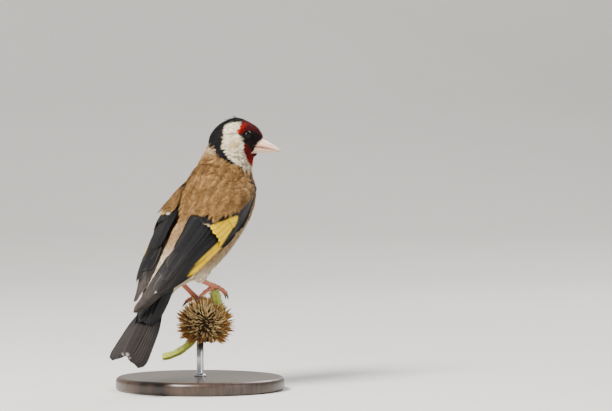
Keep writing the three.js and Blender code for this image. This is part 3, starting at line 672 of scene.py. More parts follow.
def scatter(density, keep, verts, faces, normals):
    # seeded places on a surface, density to a square millimetre where keep says 1
    a, b, c = (verts[faces[:, k]] for k in range(3))
    middle = (a + b + c) / 3
    area = np.linalg.norm(np.cross(b - a, c - a), axis=-1) / 2
    want = area * density * keep(middle)
    count = np.floor(want + dice.random(len(want))).astype(int)
    index = np.repeat(np.arange(len(want)), count)
    u, v = dice.random(len(index)), dice.random(len(index))
    flip = u + v > 1
    u[flip], v[flip] = 1 - u[flip], 1 - v[flip]
    spots = a[index] + (b - a)[index] * u[:, None] + (c - a)[index] * v[:, None]
    corner = normals[faces[index]]
    return spots, unit(corner[:, 0] * (1 - u - v)[:, None] + corner[:, 1] * u[:, None]
        + corner[:, 2] * v[:, None])


def region(name):
    # 1 where the named coat grows
    def keep(p):
        ahead, high, side = headSpots(p)
        turn, along = bodyTurn(p)
        onTop = high > -14.5 + 0.05 * ahead
        face = onTop & (ahead > 2.4) & (high > -12)
        bill = (0.805 * ahead - 0.593 * high > 9.9) & (high > -7.7)
        eye = np.hypot(ahead - eyes["ahead"], high - eyes["high"]) < 1.75
        back = np.abs(turn) < 92
        nape = onTop & (ahead < -8.4) & (high < -1.5)
        tailEnd = (p[:, 1] < -37) & (np.abs(turn) < 140)
        picks = {
            "face": face & ~bill & ~(eye & (np.abs(side) > 4)), "crown": onTop & ~face & ~nape, "nape": nape,
            "mantle": ~onTop & back & (p[:, 1] > -12), "rump": ~onTop & back & (p[:, 1] <= -12) & ~tailEnd,
            "breast": ~onTop & ~back & (along > 0.56), "belly": ~onTop & ~back & (along <= 0.56) & ~tailEnd,
            "crest": onTop & (ahead > -7) & (ahead < 2.5) & (high > 7) & (np.abs(side) < 5),
        }
        return picks[name].astype(float)
    return keep


for name, (slot, density, length, width, lift, barbCount, reach, loose) in coats.items():
    roots, normals = scatter(density, region(name), skinVerts, skinFaces, skinNormals)
    size = np.ones(len(roots))
    if name == "face":  # smaller towards the bill
        size = 1 - 0.42 * ease(6, 11, headSpots(roots)[0])
    coat(f"{name}_feathers", slot, roots, normals, length * size, width * size, lift * (0.6 + 0.4 * size),
        barbCount, reach, loose)

print("wings")
wings = {
    "right": {"side": 1, "bulge": 6.4,
        "leading": [[16.2, 17.6, 86], [17.9, 7.2, 75], [17.2, -5.8, 65.4], [12.0, -25.4, 52.4],
            [7.6, -34.8, 46.4], [3.0, -43.2, 40.2], [-1.2, -48.3, 36.4]],
        "inner": [[13.6, 11, 94], [9.2, -2.5, 88], [5.4, -12.6, 79.4], [4.6, -23.6, 67.6], [3.2, -38.6, 53],
            [1, -45, 44.5], [-1.8, -48.9, 38.2]]},
    "left": {"side": -1, "bulge": 4.6,
        "leading": [[-16.2, 17.6, 86], [-17.8, 7, 75.4], [-17.2, -6, 66.4], [-13.6, -23.4, 54.6],
            [-10.6, -31, 49.4], [-7.6, -38, 44.4], [-5.4, -43, 41]],
        "inner": [[-13.6, 11, 94], [-7.2, -2.5, 88.6], [-2.6, -12.4, 79.6], [-2.0, -21, 68.4],
            [0.2, -35.2, 54.0], [0.8, -39.9, 47.6], [-1.8, -44.0, 41.2]]},
}
# tiers from the lowest to the topmost: how many feathers, the first's and the last's root and tip
# along and across the wing, half widths, heights, and how round the tips are
wingTiers = {
    "primary": {"count": 9, "root": (0.42, 0.1, 0.44, 0.8), "tip": (1.0, 0.5, 0.8, 0.9), "half": (2.4, 2.7),
        "lift": (0.3, 1.2), "round": 0.72},
    "secondary": {"count": 7, "root": (0.34, 0.06, 0.34, 0.7), "tip": (0.74, 0.12, 0.66, 0.86),
        "half": (2.6, 2.9), "lift": (1.3, 1.8), "round": 0.8},
    "tertial": {"count": 4, "root": (0.3, 0.5, 0.22, 0.88), "tip": (0.76, 0.52, 0.56, 0.9),
        "half": (3.0, 3.2), "lift": (1.9, 2.5), "round": 0.74},
    "greater": {"count": 9, "root": (0.2, 0.08, 0.2, 0.86), "tip": (0.36, 0.06, 0.37, 0.88),
        "half": (2.0, 2.2), "lift": (2.3, 2.7), "round": 0.7},
    "median": {"count": 8, "root": (0.12, 0.08, 0.12, 0.86), "tip": (0.26, 0.08, 0.26, 0.88),
        "half": (2.2, 2.3), "lift": (2.6, 3.0), "round": 0.6},
}
lesser = {"rows": 7, "each": 13, "half": 1.35, "start": -0.03, "step": 0.026, "length": 0.075, "lift": 2.6}
wingColours = {"black": tone(17, 17, 19), "slate": tone(38, 36, 38), "brown": tone(66, 57, 53),
    "yellow": tone(250, 204, 0), "cream": tone(210, 188, 144), "white": tone(226, 220, 208),
    "edge": tone(84, 76, 70)}
barSize = np.array([70, 15])  # the wing's length and width, which turn shares of it into millimetres
yellowBar = np.array([[0.215, 0.19], [0.2, 0.27], [0.225, 0.32], [0.29, 0.41], [0.345, 0.52],
    [0.375, 0.55], [0.385, 0.3], [0.4, 0.12], [0.385, 0.02], [0.345, 0.045], [0.3, 0.095],
    [0.25, 0.14]]) * barSize
# in the picture
creamMark = [[200.5, 223.5], [209, 221.5], [214.5, 229], [214.8, 235.5], [208, 230.5], [202, 227]]


def wingEdges(wing, s):
    return spline(wing["leading"], s, False), spline(wing["inner"], s, False)


def onWing(wing, s, k, height):
    # a spot s along and k across the wing, height above its bulging surface
    low, high = wingEdges(wing, s)
    (lowNext, highNext), (lowLast, highLast) = wingEdges(wing, s + 1e-3), wingEdges(wing, s - 1e-3)
    along = unit(lowNext - lowLast + highNext - highLast)
    outward = unit(np.cross(high - low, along)) * wing["side"]
    height = height * (1 if wing["side"] > 0 else 0.4 + 0.6 * ease(0.16, 0.34, s))
    s = np.clip(s, 0, 1)
    bulge = wing["bulge"] * np.minimum(1, 0.3 + 3.2 * s) * (1 - s) ** 0.75 + 0.5
    return low + (high - low) * k[..., None] + outward * (bulge * np.sin(np.pi * np.clip(k, 0, 1))
        + height)[..., None]


def crown(k):
    # how high a wing's feathers stand from edge to edge
    return 0.3 + 0.7 * np.sin(np.pi * np.clip(k, 0.02, 0.98)) ** 0.6


def gridFaces(index, flipped=False):
    corners = [index[:-1, :-1], index[:-1, 1:], index[1:, 1:], index[1:, :-1]]
    return np.stack([corners[k] for k in ((0, 3, 2, 1) if flipped else (0, 1, 2, 3))], -1).reshape(-1, 4)


def vanePlan(across=8, along=22):
    # places u along and v across a vane, from -1 to 1, and its faces
    v, u = np.meshgrid(np.linspace(-1, 1, across + 1), np.linspace(0, 1, along + 1))
    return u.ravel(), v.ravel(), gridFaces(np.arange(u.size).reshape(u.shape))


def bladeHalf(u, tipRound, rootWidth=0.4):
    # half width along a vane, as a share of its widest: narrow root, full middle, rounded tip
    tip = np.clip((u - tipRound) / (1 - tipRound), 0, 1) ** 2.2
    return (rootWidth + (1 - rootWidth) * ease(0, 0.5, u)) * np.sqrt(np.clip(1 - tip, 0, 1))


def shaftRidge(u, v):
    return bell(v / 0.12) * (1 - u) ** 0.4


def vanePiece(name, vanes, plan, replaced=()):
    # one piece of alike vanes, each with its spots, paint and map
    verts, paint, detail = (np.vstack(part) for part in zip(*vanes))
    makePiece(name, verts, repeated(plan, len(vanes), len(vanes[0][0])), vaneMaterial,
        "flight_feathers", replaced, colour=paint, detail=detail)


def imageSpot(p):
    # where a place falls in the picture, in pixels
    right = picture["right"]
    sideways = picture["x"] + (right[0] * p[:, 0] + right[1] * p[:, 1]) / picture["pixel"]
    return sideways, picture["y"] - p[:, 2] / picture["pixel"]


def wingPaint(name, tier, share, s, k, u, v, spots):
    sideways, down = imageSpot(spots)
    if tier in ("primary", "secondary", "tertial"):
        outer = tier == "primary"
        layers = [("slate", (0.6 if outer else 0.25) + 0.2 * ease(0.5, 0.9, s)),
            ("brown", 0.75 * ease(0.62, 0.82, s) * (1 if outer else 0.4)),
            ("edge", 0.7 * ease(0.82, 0.97, np.abs(v)) * ease(0.2, 0.5, u) * ease(0.45, 0.65, s))]
        if tier == "tertial":
            layers += [("white", ease(0.968, 0.985, u) * ease(0.5, 0.3, np.abs(v)) * (share < 0.2))]
        else:
            strip = ease(0.17, 0.12, k) * ease(0.53, 0.49, s + 0.5 * np.abs(k - 0.02)) * ease(0.28, 0.31, s)
            layers += [("yellow", strip),
                ("black", 0.8 * bell((k - 0.085) / 0.012) * ease(0.4, 0.44, s) * strip)]
    else:
        inBar = insideMark(yellowBar, s * barSize[0], k * barSize[1], dice.normal(0, 0.12))
        inCream = insideMark(creamMark, sideways, down, dice.normal(0, 0.4))
        layers = [("slate", 0.25 + 0.3 * ease(0.6, 0.8, k)),
            ("cream", 0.85 * ease(-0.9, 0.9, inCream) * (name == "right")),
            ("yellow", ease(-0.25, 0.25, inBar) * (1 if name == "right" else ease(0.36, 0.26, k)))]
    if name == "left":  # marks that the photo shows on this wing's outer edge
        edge = 153.6 - 0.348 * (down - 229)
        layers += [("white", 0.8 * ease(1.9, 1.0, np.hypot((sideways - 168) * 0.6, down - 212.5))),
            ("yellow", ease(3.2, 2.2, np.hypot((sideways - 162.5) * 1.1, down - 211.5))),
            ("yellow", ease(1.5, 0.9, sideways - edge) * ease(226, 228, down) * ease(254, 251, down))]
    return paintOver(np.broadcast_to(wingColours["black"], (*s.shape, 3)), wingColours, layers)


def buildWing(name):
    wing, vanes = wings[name], []
    u, v, plan = vanePlan()
    for tier, spec in wingTiers.items():
        firstRoot, lastRoot, firstTip, lastTip = np.array([*spec["root"], *spec["tip"]]).reshape(4, 2)
        for share in (i / (spec["count"] - 1) for i in range(spec["count"])):
            root = firstRoot + (lastRoot - firstRoot) * share
            end = firstTip + (lastTip - firstTip) * [share ** 0.8, share] + [dice.normal(0, 0.004),
                dice.normal(0, 0.005)]
            half = mix(*spec["half"], share) * (1 + 0.05 * dice.standard_normal())
            s = root[0] + (end[0] - root[0]) * u
            across = bladeHalf(u, spec["round"]) * v
            low, high = wingEdges(wing, s)
            span = np.maximum(np.linalg.norm(high - low, axis=-1), 3)
            k = np.clip(root[1] + (end[1] - root[1]) * u + across * half / span, -0.05, 1.05)
            height = mix(*spec["lift"], share) - 1.2 * (1 - u) ** 3 - 0.09 * across * half \
                - 0.12 * across ** 2 * half \
                + 0.16 * shaftRidge(u, v)
            flat = crown(k) + (1 - crown(k)) * ease(0.3, 0.5, s)
            spots = onWing(wing, s, k, height * (0.35 + 0.65 * ease(1.02, 0.6, s)) * flat + 0.25)
            shade = (1 + 0.08 * dice.standard_normal()) * (1 - 0.3 * bell(v / 0.07)) \
                * (1 - 0.35 * ease(-0.5, -1, v))
            paint = wingPaint(name, tier, share, s, k, u, v, spots) * shade[:, None]
            vanes.append((spots, paint, np.stack([u * 2.4 * (end[0] - root[0]), 0.5 + 0.5 * across], -1)))
    vanePiece(f"wing_{name}_vanes", vanes, plan, (f"wing_{name}",))


def lesserCoverts(name):
    # rows of small feathers over the arm, from the bend back to the greater coverts
    wing, vanes = wings[name], []
    u, v, plan = vanePlan(4, 8)
    for row in range(lesser["rows"]):
        for i in range(lesser["each"]):
            middle = (i + 0.5 * (row % 2) + 0.2 * dice.standard_normal()) / lesser["each"]
            s = lesser["start"] + lesser["step"] * row + 0.004 * dice.standard_normal() + lesser["length"] * u
            half = lesser["half"] * (1 + 0.1 * dice.standard_normal())
            across = bladeHalf(u, 0.5, 0.6) * v
            low, high = wingEdges(wing, s)
            k = np.clip(middle + across * half / np.linalg.norm(high - low, axis=-1), -0.06, 1.05)
            height = lesser["lift"] + 0.7 * row / lesser["rows"] - 0.9 * (1 - u) ** 2 - 0.2 * across ** 2 \
                + 0.1 * dice.random()
            spots = onWing(wing, s, k, height * crown(k))
            paint = wingPaint(name, "lesser", 0, s, k, u, v, spots) * (1 + 0.15 * dice.standard_normal())
            vanes.append((spots, paint, np.stack([u * 0.12, 0.5 + 0.5 * across], -1)))
    vanePiece(f"wing_{name}_coverts", vanes, plan)


for build in (buildWing, lesserCoverts):
    for name in ("right", "left"):
        build(name)

# feathers of the back that drape over the wings' roots and between the wings
drape = {
    "density": 1.5, "length": 5.2, "half": 1.05, "rise": 0.75, "barbs": 9, "reach": 0.42, "loose": 0.05,
    "ragged": 2.6,
    # in the picture: down, right edge
    "edge": ([165, 181, 190, 200, 207, 213, 219], [258, 253, 251, 247, 241, 233, 216]),
    "middle": ([200, 220, 240, 260, 284], [199, 188.5, 175, 163, 152]),  # down, the strip between the wings
    "strip": ([200, 220, 240, 260, 284], [12, 8, 6.5, 5, 3.5]),  # down, its half width
    "brown": tone(150, 120, 84), "pale": tone(198, 182, 154),
}


def sheet(spots, outs, shape):
    # triangles over a grid of spots, facing the way of outs
    quads = gridFaces(np.arange(len(spots)).reshape(shape), True)
    tris = np.vstack([quads[:, [0, 1, 2]], quads[:, [0, 2, 3]]])
    a, b, c = (spots[tris[:, j]] for j in range(3))
    facing = (np.cross(b - a, c - a) * outs[tris[:, 0]]).sum(-1).mean()
    return spots, tris if facing >= 0 else tris[:, ::-1], outs


def drapeSurface():
    # a shell on each wing's covered part and one between the wings, alone and with the skin
    sheets = []
    for wing in wings.values():
        s, k = np.meshgrid(np.linspace(-0.05, 0.34, 40), np.linspace(-0.02, 1.06, 36), indexing="ij")
        shape, s, k = s.shape, s.ravel(), k.ravel()
        height = 0.3 + 3.4 * crown(k) * ease(-0.1, 0.1, s)
        spots = onWing(wing, s, k, height)
        sheets.append(sheet(spots, unit(onWing(wing, s, k, height + 1) - spots), shape))
    s, w = np.meshgrid(np.linspace(0.08, 0.8, 60), np.linspace(-0.08, 1.08, 30), indexing="ij")
    shape, s, w = s.shape, s.ravel(), w.ravel()
    one, two = (spline(wings[name]["inner"], s, False) for name in ("left", "right"))
    out = unit(np.cross(two - one, unit(spline(wings["right"]["inner"], s + 1e-3, False) - two)))
    out = out * np.sign(out[:, 2:3])
    fall = 0.5 - 1.0 * ease(0.2, 0.4, s) - 1.8 * (w - 0.5) ** 2
    sheets.append(sheet(one + (two - one) * w[:, None] + out * fall[:, None], out, shape))
    starts = np.cumsum([0] + [len(part[0]) for part in sheets])
    verts, normals = (np.vstack([part[i] for part in sheets]) for i in (0, 2))
    faces = np.vstack([part[1] + start for part, start in zip(sheets, starts)])
    both = np.vstack([skinVerts, verts]), np.vstack([skinFaces, faces + len(skinVerts)])
    return (verts, faces, normals), BVHTree.FromPolygons([tuple(v) for v in both[0]], both[1].tolist())


def draped(p):
    # 1 where a feather rooted here ends inside the brown of the photo
    sideways, down = imageSpot(p + 5 * backward)
    ragged = dice.normal(0, drape["ragged"], len(p))
    low = np.where(sideways > 186, 213 + 9 * bell((sideways - 224) / 9),
        210.5 - 0.1 * (sideways - 165)) + ragged
    covered = (down < low) & (sideways < np.interp(down, *drape["edge"]) + 0.4 * ragged)
    between = np.abs(sideways - np.interp(down, *drape["middle"])) < np.interp(down, *drape["strip"])
    return (covered | (between & (down < 284))).astype(float)


def drapePaint(p):
    # mantle brown that pales down the back between the wings
    sideways, down = imageSpot(p)
    pale = mix(np.broadcast_to(drape["brown"], p.shape), drape["pale"], ease(236, 262, down))
    return mix(mantlePaint(p), pale, ease(214, 228, down) * ease(200, 192, sideways))


shell, drapeTree = drapeSurface()
roots, normals = scatter(drape["density"], draped, *shell)
size = np.ones(len(roots))
coat("scapular_feathers", "mantle_feathers", roots, normals, drape["length"] * size, drape["half"] * size,
    drape["rise"] * size, drape["barbs"], drape["reach"], drape["loose"], drapePaint, drapeTree)

print("tail")
tail = {"root": np.array([0, -31.5, 43.8]), "axis": np.array([0, -0.665, -0.747]),
    "normal": np.array([0, -0.747, 0.665]), "roll": math.radians(12), "length": 36.5, "fork": 3.2,
    "count": 12, "half": 3.2, "base": tone(20, 19, 20), "brown": tone(36, 32, 31), "edge": tone(62, 56, 53),
    "white": tone(230, 224, 214)}
tailRows = {"rows": 3, "each": 9, "spread": math.radians(66), "length": 17, "shorter": 4.5, "half": 2.5,
    "colour": tone(22, 21, 22)}
tailRight = np.array([math.cos(tail["roll"]), 0, 0]) - tail["normal"] * math.sin(tail["roll"])
tailUp = tail["normal"] * math.cos(tail["roll"]) + np.array([math.sin(tail["roll"]), 0, 0])


def onTail(ahead, side, rise):
    ahead, side, rise = (np.asarray(v, float)[..., None] for v in (ahead, side, rise))
    return tail["root"] + tail["axis"] * ahead + tailRight * side + tailUp * rise


def buildTail():
    u, v, plan = vanePlan(8, 26)
    vanes, middle = [], (tail["count"] - 1) / 2
    for i in sorted(range(tail["count"]), key=lambda i: -abs(i - middle)):  # the outermost lie lowest
        spot = i - middle
        outward = abs(spot) / middle
        length = tail["length"] - tail["fork"] * (1 - outward) ** 1.3 + 0.4 * dice.standard_normal() \
            + (0.8 if spot > 0 else -0.8)
        across = bladeHalf(u, 0.84, 0.35) * v
        side = spot * (0.42 + 0.82 * u ** 0.8) + across * tail["half"]
        rise = 0.95 - 1.9 * outward + (0.14 if spot > 0 else 0) - 0.1 * np.sign(spot) * across \
            * tail["half"] \
            + 0.14 * shaftRidge(u, v)
        whiteSpot = ease(0.955, 0.97, u) * ease(1.0, 0.99, u) * ease(0.45, 0.2, np.abs(v + 0.3)) \
            * (outward < 0.4)
        # each feather black towards its root: partly the tail's own black, partly painted shadow under the
        # wing tips
        paint = paintOver(np.broadcast_to(tail["brown"], (len(u), 3)), tail, [
            ("base", ease(0.6, 0.3, u)), ("edge", 0.6 * ease(0.75, 0.98, np.abs(v)) * ease(0.3, 0.6, u)),
            ("white", 0.85 * whiteSpot)])
        paint = paint * (1 + 0.08 * dice.standard_normal()) * (1 - 0.3 * bell(v / 0.07))[:, None]
        vanes.append((onTail(1 + u * length, side, rise), paint, np.stack([u * 1.1, 0.5 + 0.5 * across], -1)))
    vanePiece("tail_vanes", vanes, plan, ("tail",))


def tailCoverts():
    # black feathers over the tail's root, from the lowest row to the topmost; their black is partly their own
    # and partly painted shadow under the wing tips
    u, v, plan = vanePlan(6, 14)
    vanes = []
    for row in range(tailRows["rows"]):
        for share in np.linspace(-1, 1, tailRows["each"]):
            angle = tailRows["spread"] * share
            t = np.array(0.28 - 0.045 * row)
            spot, inside = (bodyForm(inset)(t, np.array(angle)) for inset in (0.2, 3.0))
            end = onTail(tailRows["length"] - tailRows["shorter"] * row, share * (3.6 - 0.5 * row),
                2.4 - 2.2 * abs(share) + 0.4 * row)
            path = bezier(spot, (spot + end) / 2 + unit(spot - inside) * 1.2, end)
            line = path(u)
            run = unit(path(np.minimum(u + 0.01, 1.01)) - line)
            out = unit(tailUp * math.cos(angle) + tailRight * math.sin(angle))
            across = bladeHalf(u, 0.6, 0.6) * v
            rise = 0.5 + 0.1 * row - 0.25 * across ** 2 + 0.1 * bell(v / 0.12)
            verts = line + unit(np.cross(run, out)) * (across * tailRows["half"])[:, None] \
                + out * rise[:, None]
            paint = np.broadcast_to(tailRows["colour"] * (1 + 0.15 * dice.standard_normal()), (len(u), 3))
            vanes.append((verts, paint, np.stack([u * 0.4, 0.5 + 0.5 * across], -1)))
    vanePiece("tail_coverts", vanes, plan)


buildTail()
tailCoverts()

print("bill, eyes and legs")
bill = {"tip": (20.8, -7.0), "corner": (8.4, -4.7), "start": 7.6, "top": 5.4, "bottom": 3.5, "half": 5.3,
    "shorter": 1.0, "horn": tone(232, 194, 170), "end": tone(120, 84, 66), "mouth": tone(176, 108, 66),
    "root": tone(178, 160, 138)}
billMaterial = hornMaterial("billHorn", None, 0.1, 260, 0.36, 0.2)


def mandible(name):
    upper = name == "upper"
    reach = bill["tip"][0] - (0 if upper else bill["shorter"])
    drop = bill["tip"][1] - bill["corner"][1] - 0.35
    tall = (bill["top"], 0.05) if upper else (0.05, bill["bottom"])  # above and below the mouth's line
    wide = bill["half"] - (0 if upper else 0.3)

    def form(t, angle):
        ahead = bill["start"] + (reach - bill["start"]) * t
        share = (ahead - 7.5) / (reach - 7.5)
        fade = np.maximum((1 - share) ** 0.86, 0.035)
        mouth = bill["corner"][1] + 0.35 + drop * share + 0.35 * np.sin(np.pi * share) \
            - (0 if upper else 0.16)
        bow = np.sign(np.sin(angle)) * np.abs(np.sin(angle)) ** 0.85
        return onHead(ahead, mouth + np.where(np.cos(angle) > 0, *tall) * np.cos(angle) * fade,
            bow * wide * fade)
    t, angle = np.meshgrid(np.linspace(0, 1, 37), np.linspace(0, 2 * np.pi, 40, endpoint=False),
        indexing="ij")
    t, cosine = t.ravel(), np.cos(angle).ravel()
    keel = 0 if upper else 0.5
    paint = paintOver(np.broadcast_to(bill["horn"] * (1.0 if upper else 0.9), (len(t), 3)), bill, [
        ("mouth", 0.85 * ease(0.34, 0.1, np.abs(cosine))), ("mouth", keel * ease(-0.86, -0.98, cosine)),
        ("root", 0.6 * ease(0.22, 0.05, t)), ("end", 0.8 * ease(0.86, 1.0, t))])
    makePiece(f"bill_{name}_horn", *loft(form, 40, 36), billMaterial, "bill_horn",
        (f"bill_{name}",), colour=paint)


def eyeMaterial():
    material, tree = newMaterial("eye")
    dress(tree, Base_Color=mottled(tree, eyes["ball"], 900, 0.3)["Color"], Roughness=0.06,
        Specular_IOR_Level=0.14, Coat_Weight=0.03, Coat_Roughness=0.02)
    return material


def buildEye(name, side):
    centre = onHead(eyes["ahead"], eyes["high"], side * eyes["side"])
    outward = unit(across * side + forward * 0.24)
    flat = unit(np.cross(outward, upward))
    axes = np.array([np.cross(flat, outward), flat, outward])

    def ball(t, angle):
        polar = np.pi * np.clip(t, 0.004, 0.996)
        reach = eyes["radius"] * (1 + 0.05 * bell(polar / 0.5))  # the cornea stands a little proud
        return centre + (ballWay(polar, angle) * reach[..., None]) @ axes

    def lid(t, angle):
        about = 2 * np.pi * t
        tube = 0.2 + 0.03 * np.sin(9 * about)
        rise = math.sqrt(eyes["radius"] ** 2 - eyes["opening"] ** 2) + 0.02 + 0.7 * tube * np.sin(angle)
        reach = eyes["opening"] + 0.2 + 0.05 * np.cos(2 * about) + tube * np.cos(angle)
        return centre + np.stack([np.cos(about) * reach, np.sin(about) * reach, rise], -1) @ axes
    makePiece(f"eye_{name}_ball", *loft(ball, 40, 28), eyeGloss, "eye", (f"eye_{name}",))
    makePiece(f"lids_{name}", *loft(lid, 12, 48, closed=False), lidMaterial, "leg_skin")


eyeGloss = eyeMaterial()
lidMaterial = hornMaterial("lids", eyes["lid"], 0.3, 1500, 0.8, Specular_IOR_Level=0.12)
for name in ("upper", "lower"):
    mandible(name)
for name, side in (("right", 1), ("left", -1)):
    buildEye(name, side)

toes = {  # the end of each toe and its claw's tip
    "right": [([9.6, 6.9, 43.4], [10.2, 7.4, 40.4]), ([7.2, 8.6, 43.6], [7.4, 9.6, 40.4]),
        ([3.6, 8.2, 43.4], [3.0, 9.0, 40.6]), ([3.2, -4.0, 42.4], [2.2, -6.6, 40.2])],
    "left": [([-7.8, 7.8, 38.0], [-8.8, 8.4, 35.6]), ([-4.2, 9.4, 38.2], [-4.4, 11.0, 35.6]),
        ([-0.8, 8.4, 39.4], [0.2, 9.8, 37.4]), ([-5.2, -3.4, 39.6], [-5.8, -5.8, 37.4])],
}
legMaterial = hornMaterial("legSkin", tone(172, 100, 76), 0.22, 900, 0.5, 0.1)
clawMaterial = hornMaterial("clawHorn", tone(84, 62, 54), 0.15, 900, 0.35, 0.3)


def scutes(count, depth):
    return lambda t, a: 1 + depth * np.abs(np.sin(np.pi * count * t)) ** 0.5 * (0.5 + 0.5 * np.cos(a))


def clawSize(t, a):
    return legs["claw"] * (1 - t) ** 0.7 + 0.06


def buildLeg(side):
    ankle, foot = (np.array(legs[side][part]) for part in ("ankle", "foot"))
    plates, rings = scutes(11, 0.14), scutes(9, 0.16)
    shank = rod(lambda t: straight(ankle, foot)(t * 1.02 - 0.04),
        lambda t, a: legs["shank"] * plates(t, a) * (1 + 0.3 * np.abs(2 * t - 1) ** 3), 18, 90)
    makePiece(f"tarsus_{side}_skin", *shank, legMaterial, "leg_skin", (f"tarsus_{side}",))
    forms = []
    for number, (tip, clawTip) in enumerate(np.array(toes[side])):
        path = bezier(foot, foot + (tip - foot) * 0.55 + upward, tip)
        forms.append(rod(path, lambda t, a: legs["toe"] * rings(t, a) * (1.15 - 0.32 * t)
            * (1 + 0.12 * np.cos(6 * np.pi * t)), 14, 60))
        end = unit(path(np.array(1.0)) - path(np.array(0.98)))
        arc = bezier(tip - end * 0.2, tip + (clawTip - tip) * 0.4 + end * 0.8, clawTip)
        makePiece(f"claw_{side}_{number + 1}_horn", *rod(arc, clawSize, 12, 16),
            clawMaterial, "claw_horn", (f"claw_{side}_{number + 1}",))
    forms.append(loft(lambda t, a: foot + ballWay(np.pi * np.clip(t, 0.01, 0.99), a) * legs["knuckle"], 16,
        10))
    makePiece(f"foot_{side}_skin", *joinForms(forms), legMaterial, "leg_skin", (f"foot_{side}",))


for side in ("right", "left"):
    buildLeg(side)

# a dried thistle head, its green stub and its cut stem
print("perch and stand")
perch = {"centre": np.array([2.0, 1.0, 29.5]), "radius": 8.4, "reach": 13.4, "bracts": 1150, "floor": 21.6,
    "crown": unit(np.array([0.5, -0.72, 0.35])), "sunk": 0.86, "clear": 1.4,
    "core": tone(44, 28, 14), "dark": tone(48, 30, 14), "tan": tone(166, 116, 58),
    "straw": tone(236, 206, 144), "rust": tone(186, 100, 26)}
bractSteps = ((0, 0, 0.5), (0.3, 1.25, 0.5), (0.65, 1.0, 0.32), (1.0, -0.6, 0.05))  # along, curl, half width
stub = {"start": np.array([7.0, 5.4, 33.5]), "end": np.array([5.8, 2.8, 45.0]), "radius": 2.1,
    "hairs": 420, "top": 46.4, "green": tone(168, 174, 84), "pale": tone(214, 210, 170)}
stem = {"path": ([-2.6, -1.6, 22.5], [-8, -4.5, 15.5], [-15, -8, 14.6]), "radius": 1.6}
thistleMaterial = plumageMaterial("driedThistle", 0.82, 0.1, 0.35, 900.0, 0.8)
stemMaterial = hornMaterial("greenStem", tone(150, 158, 58), 0.4, 700, 0.65)


def bractForms():
    # pointed bracts all round the head, which lean to its crown
    crown, count = perch["crown"], perch["bracts"]
    index = np.arange(count) + 0.5
    polar = np.arccos(1 - 2 * index / count)
    turn = np.pi * (1 + 5 ** 0.5) * index + 0.25 * dice.standard_normal(count)
    east = unit(np.cross(crown, [0, 0, 1.0]))
    north = np.cross(east, crown)
    way = crown * np.cos(polar)[:, None] + (east * np.cos(turn)[:, None] + north * np.sin(turn)[:, None]) \
        * np.sin(polar)[:, None]
    lean = unit(crown - way * (way @ crown)[:, None])
    side = np.cross(way, lean)
    inner = ease(1.0, 0.2, polar)  # the crown's straw florets stand up closer and shorter
    length = (perch["reach"] - perch["radius"] * perch["sunk"]) * (0.5 + 0.62 * dice.random(count)) \
        * (1 - 0.2 * inner)
    start = perch["centre"] + way * perch["radius"] * perch["sunk"]
    hook = 0.9 * dice.standard_normal(count)
    pick = dice.random(count)
    base = paintOver(np.broadcast_to(perch["tan"], (count, 3)), perch, [
        ("rust", ease(0.45, 0.9, pick) * ease(1.2, 2.2, polar)),
        ("straw", np.clip(0.8 * ease(1.15, 0.5, polar) + 0.9 * (pick < 0.16), 0, 1)),
        ("dark", 0.55 * ease(1.5, 2.6, polar) * (pick > 0.35))])
    verts, paint = [], []
    for t, curl, w in bractSteps:
        bend = 1.3 * curl * (1 - inner) + 1.6 * inner * t * t + hook * t * t
        spot = start + way * (length * t)[:, None] - lean * bend[:, None] * 0.6
        thick = side * np.where(inner > 0.5, 0.55, 1.0)[:, None] * w
        ridge = lean * 0.22 * w
        verts += [spot - thick, spot + ridge, spot + thick, spot - ridge]
        # each bract darker towards its base and on its back and lighter on its front ridge: painted shade and
        # painted highlight
        shade = (0.22 + 1.05 * t) * (1 + 0.12 * dice.standard_normal(count))
        paint += [base * shade[:, None] * f for f in (0.9, 1.1, 0.9, 0.75)]
    verts, paint = np.stack(verts, 1), np.stack(paint, 1)
    plan = []
    for row in range(3):
        for j in range(4):
            a, b = row * 4 + j, row * 4 + (j + 1) % 4
            plan.append((a, b, b + 4, a + 4))
    keep = verts[:, -4:, 2].min(1) > perch["floor"] - 1.0
    for tip, clawTip in (*toes["right"], *toes["left"]):  # none where the toes hold
        keep &= np.linalg.norm(verts[:, 13] - np.array(tip), axis=-1) > perch["clear"]
    faces = repeated(plan, count, 16).reshape(count, -1, 4)[keep].reshape(-1, 4)
    return verts.reshape(-1, 3), faces, paint.reshape(-1, 3)


def coreForm(t, angle):
    polar = np.pi * np.clip(t, 0.004, 0.996)
    bumps = 1 + 0.03 * np.sin(9 * angle) * np.sin(7 * polar)
    spot = perch["centre"] + ballWay(polar, angle) * (perch["radius"] * bumps)[..., None]
    spot[..., 2] = np.maximum(spot[..., 2], perch["floor"])
    return spot


def stubHairs():
    # pale hairs and short green spines round the stub
    count = stub["hairs"]
    t, turn = dice.random(count), 2 * np.pi * dice.random(count)
    run = unit(stub["end"] - stub["start"])
    side = unit(np.cross(run, [0, 1.0, 0]))
    way = side * np.cos(turn)[:, None] + np.cross(run, side) * np.sin(turn)[:, None]
    base = straight(stub["start"], stub["end"])(t) + way * 1.9
    length = 0.9 + 1.5 * dice.random(count) ** 2
    lean = run * (0.2 + 0.7 * dice.random(count))[:, None]
    tip = base + unit(way + lean + 0.35 * dice.standard_normal((count, 3))) * length[:, None]
    tip[:, 2] = np.minimum(tip[:, 2], stub["top"])
    thick = (0.09 + 0.16 * (dice.random(count) < 0.3))[:, None]
    flat, rise = np.cross(way, run) * thick, run * (thick * 0.8)
    verts = np.stack([base + flat, base - flat * 0.5 + rise, base - flat * 0.5 - rise, tip], 1)
    faces = repeated([[0, 1, 3], [1, 2, 3], [2, 0, 3]], count, 4)
    shade = np.where(thick > 0.2, stub["green"], stub["pale"]) * (1 + 0.12 * dice.standard_normal((count, 1)))
    makePiece("thistle_stub_hairs", verts.reshape(-1, 3), faces, thistleMaterial, "green_stem",
        colour=np.repeat(shade, 4, 0))


